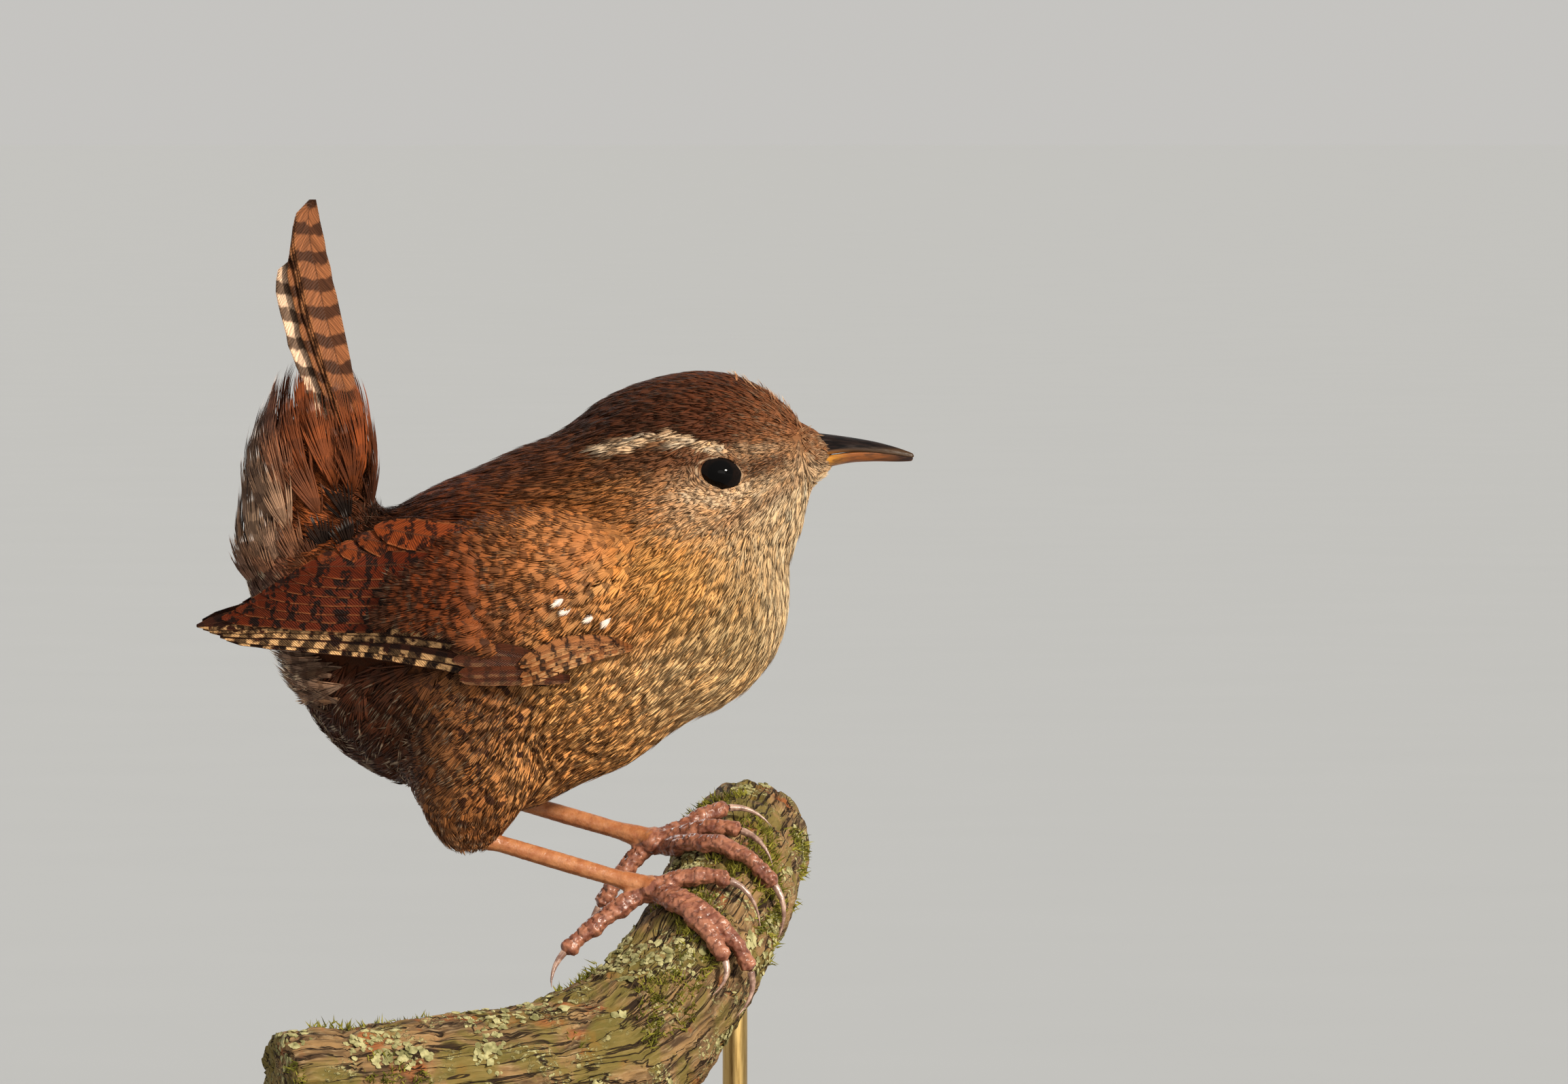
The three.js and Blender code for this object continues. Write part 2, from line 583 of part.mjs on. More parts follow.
// Each foot's heel and palm, and its toes' ends and claw tips, the hind toe first
const FEET = {
  right: {
    heel: spotAt(-12.4, -8.2, 45.8),
    palm: spotAt(7.4, -7.6, 39.9),
    toes: [
      toe("1", spotAt(-1.6, -10.4, 33.6), spotAt(-3.4, -12.4, 29.4)),
      toe("2", spotAt(14.8, -6.2, 39), spotAt(18.4, -7.2, 35.4)),
      toe("3", spotAt(16.2, -11.6, 31.4), spotAt(15.6, -13, 26.6)),
      toe("4", spotAt(14.4, -13.8, 32.4), spotAt(13.8, -16.4, 28.8)),
    ],
  },
  left: {
    heel: spotAt(-12.4, 7.8, 50),
    palm: spotAt(7.4, 5.6, 44.4),
    toes: [
      toe("1", spotAt(1.8, 4.4, 37.6), spotAt(0.2, 3, 33.6)),
      toe("2", spotAt(17.6, -1.4, 38.2), spotAt(19.4, -3.6, 34)),
      toe("3", spotAt(16.4, 3.2, 44.2), spotAt(20.6, 1.2, 41.6)),
      toe("4", spotAt(15.4, 9, 46), spotAt(19.8, 9.6, 44.6)),
    ],
  },
};

// A toe runs straight from palm to end, held off the bark where the branch is in its way
function toePath(foot, { end }) {
  const STEPS = 7;
  return Array.from({ length: STEPS + 1 }, (_, i) => {
    const arch = 0.5 * Math.sin((Math.PI * i) / STEPS);
    return clearOfBark(foot.palm.clone().lerp(end, i / STEPS).add(spotAt(0, 0, arch)), TOE_CLEARANCE);
  });
}

function toeSolid(foot, which, extra = 0) {
  const smooth = new THREE.CatmullRomCurve3(toePath(foot, which));
  const [STEPS, PADS] = [7, 2.4];
  const path = Array.from({ length: STEPS + 1 }, (_, i) => smooth.getPoint(i / STEPS));
  const radii = path.map((_, i) => TOE_RADIUS * (1.08 - (0.26 * i) / STEPS + 0.1 * Math.cos((2 * Math.PI * i) / PADS)) + extra);
  return tubeSolid(path, radii, 7, 0.7);
}

function palmSolid(foot, extra = 0) {
  const pad = new THREE.SphereGeometry(1, 12, 8).scale(1.7 + extra, 1.7 + extra, 1.4 + extra);
  return solidOf(pad.translate(foot.palm.x, foot.palm.y, foot.palm.z));
}

const footForm = (foot, extra = 0) => joined([palmSolid(foot, extra), ...foot.toes.map((one) => toeSolid(foot, one, extra))]);

function tarsusSolid(foot, extra = 0) {
  const SHAPE = [[0, 1.2], [0.08, 1.25], [0.17, 0.92], [0.5, 1.0], [0.8, 0.95], [0.9, 1.2], [0.95, 1.3]];
  const points = SHAPE.map(([t]) => foot.heel.clone().lerp(foot.palm, t));
  return tubeSolid(points, SHAPE.map(([, share]) => share * TARSUS_RADIUS + extra), 10, 0.7);
}

const footSolid = (foot) => largest(footForm(foot).subtract(tarsusSolid(foot, GAP)));

// A claw carries on from the toe's end and bends over to its tip
function clawForm(foot, which, extra = 0) {
  const path = toePath(foot, which);
  const [before, end] = path.slice(-2);
  const ahead = end.clone().sub(before).normalize();
  const base = end.clone().addScaledVector(ahead, -0.3);
  const knee = end.clone().addScaledVector(ahead, end.distanceTo(which.claw) * 0.55);
  const bend = new THREE.QuadraticBezierCurve3(base, knee, clearOfBark(which.claw, CLAW_RADIUS * 0.3 + GAP));
  const STEPS = 6;
  const points = Array.from({ length: STEPS + 1 }, (_, i) => clearOfBark(bend.getPoint(i / STEPS), CLAW_RADIUS * 0.3 + GAP));
  return tubeSolid(points, points.map((_, i) => CLAW_RADIUS * (1.1 - 0.95 * (i / STEPS)) + extra), 6, 0.6);
}

const clawSolid = (foot, which) => largest(clawForm(foot, which).subtract(footForm(foot, GAP)));

// The feathered thigh, from inside the belly down to the heel: place along it and radius
const THIGH = [[0, 7.6], [0.35, 7], [0.58, 5.6], [0.78, 3.6], [0.92, 2.2], [1, 1.5]];

function thighSolid(foot) {
  const hip = spotAt(foot.heel.x + 0.6, foot.heel.y * 0.92, 58.5);
  const path = THIGH.map(([t]) => hip.clone().lerp(foot.heel, t));
  const cone = tubeSolid(path, THIGH.map(([, radius]) => radius), 14, 0.4);
  return largest(cone.subtract(bodyClearance).subtract(tarsusSolid(foot, GAP)));
}

const BASE = { radius: 42, height: 5, chamfer: 0.8 };
const ROD = { radius: 1.4, depth: 3 };
const ROD_SPOTS = [spotAt(-6, -22.8, 0), spotAt(16.4, 13, 0)];

function rodSolid(spot, extra = 0) {
  const above = PERCH_SPINE.reduce((best, next) =>
    (Math.hypot(next.on.x - spot.x, next.on.y - spot.y) < Math.hypot(best.on.x - spot.x, best.on.y - spot.y) ? next : best));
  const top = above.on.z - above.radius + ROD.depth + extra;
  const bottom = BASE.height - ROD.depth - extra;
  const rod = new THREE.CylinderGeometry(ROD.radius + extra, ROD.radius + extra, top - bottom, 14);
  return solidOf(rod.rotateX(Math.PI / 2).translate(spot.x, spot.y, (top + bottom) / 2));
}

function baseSolid() {
  const { radius, height, chamfer } = BASE;
  const profile = [[0, 0], [radius - chamfer, 0], [radius, chamfer], [radius, height - chamfer], [radius - chamfer, height], [0, height]];
  const disc = new THREE.LatheGeometry(profile.map(([r, z]) => new THREE.Vector2(r, z)), 40).rotateX(Math.PI / 2);
  return ROD_SPOTS.reduce((base, spot) => base.subtract(rodSolid(spot, GAP)), solidOf(disc));
}

function perchSolid() {
  let perch = perchBlank();
  for (const foot of Object.values(FEET)) {
    perch = perch.subtract(footForm(foot, GAP));
    for (const one of foot.toes) perch = perch.subtract(clawForm(foot, one, GAP));
  }
  for (const spot of ROD_SPOTS) perch = perch.subtract(rodSolid(spot, GAP));
  return largest(perch);
}

const finish = (color, roughness, metalness = 0) => new THREE.MeshStandardMaterial({ color, roughness, metalness });
const FINISHES = {
  plumage: finish(0x8a5a34, 0.85),
  crown: finish(0x6b4428, 0.85),
  wing: finish(0x7a3f1d, 0.8),
  tail: finish(0x8c4a22, 0.8),
  eye: finish(0x0c0806, 0.08),
  bill: finish(0x2c2420, 0.35),
  leg: finish(0xb07a5c, 0.5),
  claw: finish(0xa88878, 0.4),
  bark: finish(0x6f6a4a, 0.95),
  base: finish(0x5b3a24, 0.5),
  rod: finish(0xb59a5a, 0.3, 0.9),
};

const wren = new THREE.Group();

function place(name, solid, material) {
  const mesh = new THREE.Mesh(geometryOf(solid), material);
  mesh.name = name;
  wren.add(mesh);
}

place("torso", trunk, FINISHES.plumage);
place("neck", neck, FINISHES.plumage);
place("head", headSolid(), FINISHES.crown);
place("bill_upper", upperBill(), FINISHES.bill);
place("bill_lower", largest(billSolid(LOWER_BILL, false)), FINISHES.bill);
place("tail_coverts", tailCoverts(), FINISHES.tail);
place("tail", tailSolid(), FINISHES.tail);
for (const [name, side] of [["right", -1], ["left", 1]]) {
  const foot = FEET[name];
  place(`eye_${name}`, ball(mirrored(EYE_CENTRE, side), EYE_RADIUS), FINISHES.eye);
  place(`wing_${name}`, wingSolid(side), FINISHES.wing);
  place(`thigh_${name}`, thighSolid(foot), FINISHES.plumage);
  place(`tarsus_${name}`, tarsusSolid(foot), FINISHES.leg);
  place(`foot_${name}`, footSolid(foot), FINISHES.leg);
  for (const one of foot.toes) place(`claw_${name}_${one.name}`, clawSolid(foot, one), FINISHES.claw);
}
place("perch", perchSolid(), FINISHES.bark);
place("stand_base", baseSolid(), FINISHES.base);
ROD_SPOTS.forEach((spot, i) => place(`stand_rod_${i + 1}`, rodSolid(spot), FINISHES.rod));

export default wren;
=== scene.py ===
"""A wren at life size, tail cocked, gripping a cut length of mossy branch on a plain display stand."""
import math

import bmesh
import bpy
import numpy as np
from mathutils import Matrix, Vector, noise


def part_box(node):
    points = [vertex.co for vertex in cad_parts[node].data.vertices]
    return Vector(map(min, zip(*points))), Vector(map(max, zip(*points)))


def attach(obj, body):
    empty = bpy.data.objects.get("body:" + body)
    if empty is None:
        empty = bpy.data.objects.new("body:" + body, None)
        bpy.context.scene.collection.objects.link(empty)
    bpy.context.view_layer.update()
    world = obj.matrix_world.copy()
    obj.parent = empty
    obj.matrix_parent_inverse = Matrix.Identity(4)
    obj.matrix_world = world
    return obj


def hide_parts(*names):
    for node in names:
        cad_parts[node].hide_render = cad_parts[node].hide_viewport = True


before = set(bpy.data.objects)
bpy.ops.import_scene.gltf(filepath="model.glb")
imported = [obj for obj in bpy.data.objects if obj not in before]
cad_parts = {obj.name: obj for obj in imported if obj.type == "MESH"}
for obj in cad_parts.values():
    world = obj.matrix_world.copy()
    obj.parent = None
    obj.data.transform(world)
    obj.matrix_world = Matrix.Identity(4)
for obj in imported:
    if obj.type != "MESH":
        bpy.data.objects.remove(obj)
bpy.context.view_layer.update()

MM = 0.001
SEED = 20
# Smallest value that is divided by
TINY = 1e-9
# How close, in metres, corners of the frame's loose triangles are one and the same
SAME_POINT = 1e-7


# Small helpers on rows of vectors

def unit(rows):
    return rows / np.maximum(np.linalg.norm(rows, axis=-1, keepdims=True), TINY)


def dot(a, b):
    return (a * b).sum(-1, keepdims=True)


def ramp(value, low, high):
    share = np.clip((value - low) / (high - low), 0, 1)
    return share * share * (3 - 2 * share)


def linear(*srgb):
    """A linear colour from one given as on a paint chart, 0 to 255."""
    share = np.array(srgb, float) / 255
    return np.where(share <= 0.04045, share / 12.92, ((share + 0.055) / 1.055) ** 2.4)


def tone(*srgb):
    """The same colour as a plain tuple, for a material."""
    return tuple(linear(*srgb))


# The bird's rounded masses, in millimetres

def mass(x, z, along, across, up, tilt=0.0):
    """A rounded mass in the median plane: its middle, half sizes and tilt in degrees, front end up."""
    return x, z, along, across, up, math.radians(tilt)


TRUNK = [
    mass(-5, 68.6, 23.5, 15.6, 16.4, 13),
    mass(10.3, 71.2, 12.1, 13.2, 12.8),
    mass(-11.5, 75.5, 12, 12, 9, 20),
    mass(-4.6, 80.3, 7.2, 8.5, 7.4, 28),
    mass(-25, 72, 10.4, 9.5, 8),
    mass(-22, 60.3, 12, 9, 6.8, -44),
    mass(0.5, 59.2, 9.3, 8, 7.2, 24),
    mass(-7, 53.6, 7.4, 8.4, 5.4, 25),
]
HEAD = [
    mass(2.6, 79.3, 11, 10.5, 10.8),
    mass(13, 85.8, 11.4, 8.8, 10.2),
    mass(6.6, 84.7, 9, 8.6, 9.3),
    mass(17.3, 80.4, 6.4, 6.8, 6.6),
    mass(22.4, 87.1, 4.9, 2.9, 3, -12),
]
TAIL_FOOT = [mass(-29.8, 76, 7.2, 7.2, 8), mass(-29.8, 81.5, 5.2, 5.6, 6.5), mass(-26.6, 83.5, 3.3, 4, 5.5)]
FLAME = [mass(-29.9, 77, 8.4, 8.2, 8), mass(-29.5, 85, 7.3, 6.9, 8), mass(-28.7, 91, 5.2, 6, 8)]
WING_BED = [*TRUNK, mass(-29.5, 73, 8, 7.6, 8), mass(-24, 67.5, 25, 8.6, 9, 4)]

# Heel and palm of each foot, then each toe's end and claw tip, the hind toe first
FEET = {
    "right": ((-12.4, -8.2, 45.8), (7.4, -7.6, 39.9),
              ((-1.6, -10.4, 33.6), (14.8, -6.2, 39), (16.2, -11.6, 31.4), (14.4, -13.8, 32.4))),
    "left": ((-12.4, 7.8, 50), (7.4, 5.6, 44.4),
             ((1.8, 4.4, 37.6), (17.6, -1.4, 38.2), (16.4, 3.2, 44.2), (15.4, 9, 46))),
}
HIP_HEIGHT = 58.5
# Thigh: how far down from the hip and radius
THIGH_SHAPE = ((0, 7.2), (0.45, 6.2), (0.75, 3.6), (0.92, 2), (1, 1.3))


def mass_distance(form, p):
    x, z, along, across, up, tilt = form
    c, s = math.cos(tilt), math.sin(tilt)
    dx, dz = p[:, 0] - x, p[:, 2] - z
    local = np.stack([dx * c + dz * s, p[:, 1], dz * c - dx * s], axis=1)
    size = np.array([along, across, up])
    near = np.linalg.norm(local / size, axis=1)
    steep = np.linalg.norm(local / size**2, axis=1)
    return near * (near - 1) / np.maximum(steep, TINY)


def limb_distance(limb, p):
    (start, radius), (end, last) = limb
    axis = end - start
    share = np.clip((p - start) @ axis / (axis @ axis), 0, 1)
    return np.linalg.norm(p - start - share[:, None] * axis, axis=1) - (radius + (last - radius) * share)


class Field:
    """The soft union of masses and limbs as a distance in millimetres, negative inside."""

    def __init__(self, masses, blend, limbs=()):
        self.masses = masses
        self.limbs = limbs
        self.blend = blend

    def __call__(self, p):
        parts = [mass_distance(form, p) for form in self.masses]
        parts += [limb_distance(limb, p) for limb in self.limbs]
        parts = np.stack(parts)
        least = parts.min(0)
        return least - self.blend * np.log(np.exp((least - parts) / self.blend).sum(0))

    def slope(self, p):
        step = 0.05
        here = self(p)
        ways = [(self(p + axis * step) - here) / step for axis in np.eye(3)]
        return here, np.stack(ways, axis=1)

    def settle(self, p, level, rounds=3):
        """Moves points along the slope until they lie at that level. Gives them and the way out there."""
        for _ in range(rounds):
            here, slope = self.slope(p)
            p = p + slope * ((level - here) / np.maximum((slope**2).sum(1), 1e-3))[:, None]
        return p, unit(self.slope(p)[1])


def thigh_limbs():
    limbs = []
    for heel, _, _ in FEET.values():
        heel = np.array(heel)
        hip = np.array([heel[0] + 0.6, heel[1] * 0.92, HIP_HEIGHT])
        joints = [(hip + (heel - hip) * share, radius) for share, radius in THIGH_SHAPE]
        limbs += list(zip(joints, joints[1:]))
    return limbs


BODY_FIELD = Field([*TRUNK, *HEAD, *TAIL_FOOT], 1.1, thigh_limbs())
FLAME_FIELD = Field(FLAME, 1.5)
WING_FIELD = Field(WING_BED, 1.4)

BILL_ROOT = np.array([20.5, 0, 87])
RUMP = np.array([-30, 0, 76])
VENT = np.array([-28, 0, 59])
EYE = np.array([14.7, 6.5, 85.1])
EYE_OPENING = np.array([2.3, 1.68])


def coat_depth(p):
    """How deep the skin lies under the tips of the feathers: thin on the face and the heel."""
    face = ramp(np.linalg.norm(p - BILL_ROOT, axis=1), 6, 24)
    shank = ramp(p[:, 2], 46, 54)
    return 0.34 + 0.34 * np.minimum(face, shank)


# Plumage: each region's middle in side view, its reach, colour, how strongly it is barred, how pale its tips
# are, and the spacing of its feathers
REGIONS = [
    ("crown", 12, 93, 8, 4, (84, 44, 24), 0.25, 0.1, 0.62),
    ("crown_rear", 3, 90.5, 6, 4, (54, 28, 16), 0.25, 0.05, 0.7),
    ("forehead", 21, 91, 3.6, 3, (128, 80, 50), 0.4, 0.35, 0.5),
    ("nape", -4, 85.5, 5, 4, (86, 46, 26), 0.2, 0.05, 0.85),
    ("temple", 8, 86, 5, 2, (112, 72, 46), 0.3, 0.1, 0.6),
    ("lore", 20.5, 86, 3, 2.4, (158, 116, 80), 0.55, 0.3, 0.45),
    ("cheek", 12, 81, 5, 3.4, (190, 150, 112), 0.5, 0.35, 0.55),
    ("ear_coverts", 3, 81, 5, 4, (160, 102, 54), 0.35, 0.12, 0.75),
    ("chin", 21.5, 81.5, 3, 3.5, (200, 172, 136), 0.15, 0.3, 0.55),
    ("throat", 20, 76, 5, 4, (182, 152, 114), 0.04, 0.3, 0.7),
    ("neck_side", 10, 73.5, 6, 4.5, (200, 142, 76), 0.06, 0.1, 0.85),
    ("breast", 17, 69, 5, 5, (184, 150, 104), 0.04, 0.3, 0.9),
    ("breast_front", 23, 70, 3, 7, (222, 194, 154), 0.05, 0.5, 0.85),
    ("breast_low", 12, 61, 6, 4, (232, 190, 134), 0.42, 0.4, 0.95),
    ("belly", 2, 57.5, 6, 4.5, (226, 164, 98), 0.72, 0.35, 0.95),
    ("belly_low", -4, 52.5, 6, 4, (206, 144, 86), 0.85, 0.35, 0.95),
    ("flank", -12, 57, 5, 6, (140, 90, 52), 0.9, 0.4, 1.05),
    ("vent", -21, 57, 6, 6, (64, 33, 19), 0.85, 0.5, 1.15),
    ("thigh", -12, 47.5, 4, 4, (150, 94, 52), 0.85, 0.3, 0.8),
    ("mantle", -3, 78.5, 6, 4, (140, 82, 40), 0.22, 0.1, 0.95),
    ("back", -13, 79, 6, 4, (98, 44, 16), 0.5, 0.08, 1.0),
    ("rump", -21, 78, 5, 4, (64, 34, 18), 0.55, 0.12, 1.05),
    ("shoulder", 3, 70.5, 4, 4, (184, 126, 74), 0.25, 0.2, 0.85),
    ("under_tail", -37, 73, 4, 8, (92, 66, 54), 0.6, 0.9, 1.1),
    ("tail_side", -29.5, 84, 4, 8, (146, 76, 36), 0.35, 0.1, 1.0),
    # The tail hollow's near-black is painted shade: the shadow in the gap between the rump and the tail
    # coverts
    ("painted_tail_hollow_shade", -24.6, 80.5, 3, 3.6, (28, 18, 14), 0.0, 0.0, 0.8),
]
# Narrow markings along a line in side view: the line, half width, colour and strength
BROW = ([(14.6, 87.6), (11.2, 88.3), (7.6, 88.8), (4.7, 88.1), (1.1, 87.2)], 0.6, (212, 180, 144), 0.85)
BROW_FRONT = ([(20.5, 87.4), (16.5, 87.7)], 0.6, (190, 150, 112), 0.5)
EYE_STRIPE = ([(20.8, 86.2), (17.8, 85.4), (12, 86.2), (6.5, 86.4), (1.5, 85.0)], 0.95, (96, 58, 36), 0.75)
UNDER_EYE = ([(11.2, 82.6), (14.6, 81.9), (17.6, 82.8)], 0.8, (220, 188, 150), 0.55)
WHISKER = ([(22.6, 83.6), (18.6, 81.2), (14.2, 78.6)], 0.7, (132, 88, 56), 0.45)
MARKINGS = [BROW, BROW_FRONT, EYE_STRIPE, UNDER_EYE, WHISKER]


def line_distance(x, z, line):
    best = np.full(len(x), 1e9)
    for (ax, az), (bx, bz) in zip(line, line[1:]):
        wx, wz = bx - ax, bz - az
        share = np.clip(((x - ax) * wx + (z - az) * wz) / (wx * wx + wz * wz), 0, 1)
        best = np.minimum(best, np.hypot(x - ax - share * wx, z - az - share * wz))
    return best


def plumage(p):
    """Colour, bar strength, tip paleness and feather spacing at points of the body, in millimetres."""
    x, z = p[:, 0], p[:, 2]
    total = np.full(len(p), TINY)
    blended = np.zeros((len(p), 6))
    for _, cx, cz, rx, rz, colour, bars, frost, spacing in REGIONS:
        weight = np.exp(-((x - cx) / rx) ** 2 - ((z - cz) / rz) ** 2)
        total += weight
        blended += weight[:, None] * np.array([*linear(*colour), bars, frost, spacing])
    blended /= total[:, None]
    colour, bars, frost, spacing = blended[:, :3], blended[:, 3], blended[:, 4], blended[:, 5]
    beside = ramp(np.abs(p[:, 1]), 2.2, 4.2)
    for line, half, hue, strength in MARKINGS:
        share = strength * beside * (1 - ramp(line_distance(x, z, line), half * 0.5, half * 1.5))
        colour = colour * (1 - share[:, None]) + linear(*hue) * share[:, None]
    return colour, bars, frost, spacing


def lie(p, out):
    """The way feathers lie at points of the body: away from the bill, then back to the tail and the vent."""
    ahead = p[:, 0] + 25
    middle = 67 + ahead * 0.26
    low = 1 - ramp(p[:, 2], middle - 7, middle + 7)
    face = 1 - ramp(np.linalg.norm(p - BILL_ROOT, axis=1), 12, 36)
    back = unit(RUMP - p)
    belly = unit(VENT - p) + np.array([0, 0, -0.62])
    body = back * (1 - low[:, None]) + belly * low[:, None]
    way = unit(p - BILL_ROOT) * face[:, None] + unit(body) * (1 - face[:, None])
    leg = 1 - ramp(p[:, 2], 47, 54)
    leg = leg * (p[:, 0] < -4)
    heel = np.stack([np.full(len(p), -12.4), np.sign(p[:, 1]) * 8, np.full(len(p), 43.0)], axis=1)
    way = way * (1 - leg[:, None]) + unit(heel - p) * leg[:, None]
    foot = ramp(-p[:, 0], 22, 27) * ramp(p[:, 2], 70, 76)
    fan = unit(p - np.array([-22, 0, 79])) + np.array([0, 0, 0.75])
    way = way * (1 - foot[:, None]) + unit(fan) * foot[:, None]
    # Feathers part round the eye
    offset = (p[:, [0, 2]] - EYE[[0, 2]]) / EYE_OPENING
    far = np.maximum(np.linalg.norm(offset, axis=1, keepdims=True), 1)
    away = offset / far
    push = dot(way[:, [0, 2]], away) / far**2 * (np.abs(p[:, 1]) > 4)[:, None]
    way[:, [0, 2]] -= 1.6 * push * away
    way -= out * dot(way, out)
    return unit(way)


def bake_spot(p):
    """Where points of the body lie on an unwrap of the skin's own shape: round its axis and along it."""
    axis = np.array([0.947, 0, 0.321])
    along = (p - np.array([-34, 0, 66])) @ axis
    middle = np.array([-34, 0, 66]) + along[:, None] * axis
    up = np.array([-0.321, 0, 0.947])
    angle = np.arctan2(p[:, 1], (p - middle) @ up)
    v = np.clip(0.04 + (along + 12) / 82, 0.01, 0.99)
    return np.stack([0.5 + angle / (2 * math.pi) * 0.96, v], axis=1)


# Meshes

def linked(name, data):
    """A new object in the scene, at the origin."""
    made = bpy.data.objects.new(name, data)
    bpy.context.collection.objects.link(made)
    return made


def from_shape(name, shape):
    """A new object from an edit mesh, which is then let go."""
    mesh = bpy.data.meshes.new(name)
    shape.to_mesh(mesh)
    shape.free()
    return linked(name, mesh)


def triangle_piece(name, verts, triangles, material, uvs=None, colours=None, smooth=True):
    """A new object from points in millimetres and triangles, with maps and colours given point by point."""
    mesh = bpy.data.meshes.new(name)
    mesh.vertices.add(len(verts))
    mesh.vertices.foreach_set("co", (np.asarray(verts) * MM).ravel())
    mesh.loops.add(3 * len(triangles))
    mesh.loops.foreach_set("vertex_index", triangles.ravel())
    mesh.polygons.add(len(triangles))
    mesh.polygons.foreach_set("loop_start", np.arange(0, 3 * len(triangles), 3))
    mesh.polygons.foreach_set("use_smooth", np.full(len(triangles), smooth))
    for label, rows in (uvs or {}).items():
        layer = mesh.uv_layers.new(name=label)
        layer.data.foreach_set("uv", rows[triangles.ravel()].ravel())
    mesh.materials.append(material)
    mesh.update()
    piece = linked(name, mesh)
    for label, rows in (colours or {}).items():
        paint_points(piece, label, rows)
    return piece


def dress(piece, slot_name, *nodes):
    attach(piece, "root")
    if nodes:
        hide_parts(*nodes)
    return piece


def only(piece):
    bpy.ops.object.select_all(action="DESELECT")
    piece.select_set(True)
    bpy.context.view_layer.objects.active = piece


def apply_all(piece):
    only(piece)
    for modifier in list(piece.modifiers):
        bpy.ops.object.modifier_apply(modifier=modifier.name)


def apply_place(piece):
    only(piece)
    bpy.ops.object.transform_apply(location=True, rotation=True, scale=True)


def copy_of(name, *nodes):
    """One new object from merged copies of CAD nodes."""
    shape = bmesh.new()
    for node in nodes:
        shape.from_mesh(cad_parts[node].data)
    bmesh.ops.remove_doubles(shape, verts=shape.verts, dist=SAME_POINT)
    return from_shape(name, shape)


def primitive(name, add, **settings):
    """A new primitive with its place applied, and nothing else selected."""
    bpy.ops.object.select_all(action="DESELECT")
    add(**settings)
    piece = bpy.context.object
    piece.name = name
    apply_place(piece)
    return piece


def join(first, *others):
    only(first)
    for piece in others:
        piece.select_set(True)
    bpy.ops.object.join()
    return first


def remesh(piece, voxel):
    modifier = piece.modifiers.new("Remesh", "REMESH")
    modifier.mode = "VOXEL"
    modifier.voxel_size = voxel * MM
    modifier.use_smooth_shade = True
    apply_all(piece)


def smooth_form(piece, factor, rounds):
    modifier = piece.modifiers.new("Smooth", "SMOOTH")
    modifier.factor = factor
    modifier.iterations = rounds
    apply_all(piece)


def points_of(piece):
    rows = np.empty(len(piece.data.vertices) * 3)
    piece.data.vertices.foreach_get("co", rows)
    return rows.reshape(-1, 3) / MM


def normals_of(piece):
    rows = np.empty(len(piece.data.vertices) * 3)
    piece.data.vertices.foreach_get("normal", rows)
    return rows.reshape(-1, 3)


def set_points(piece, rows):
    piece.data.vertices.foreach_set("co", (rows * MM).ravel())
    piece.data.update()


def paint_points(piece, label, rows):
    layer = piece.data.color_attributes.new(label, "FLOAT_COLOR", "POINT")
    full = np.ones((len(rows), 4))
    full[:, : rows.shape[1]] = rows
    layer.data.foreach_set("color", full.ravel())


def shade_smooth(piece):
    piece.data.polygons.foreach_set("use_smooth", np.ones(len(piece.data.polygons), bool))


# Materials

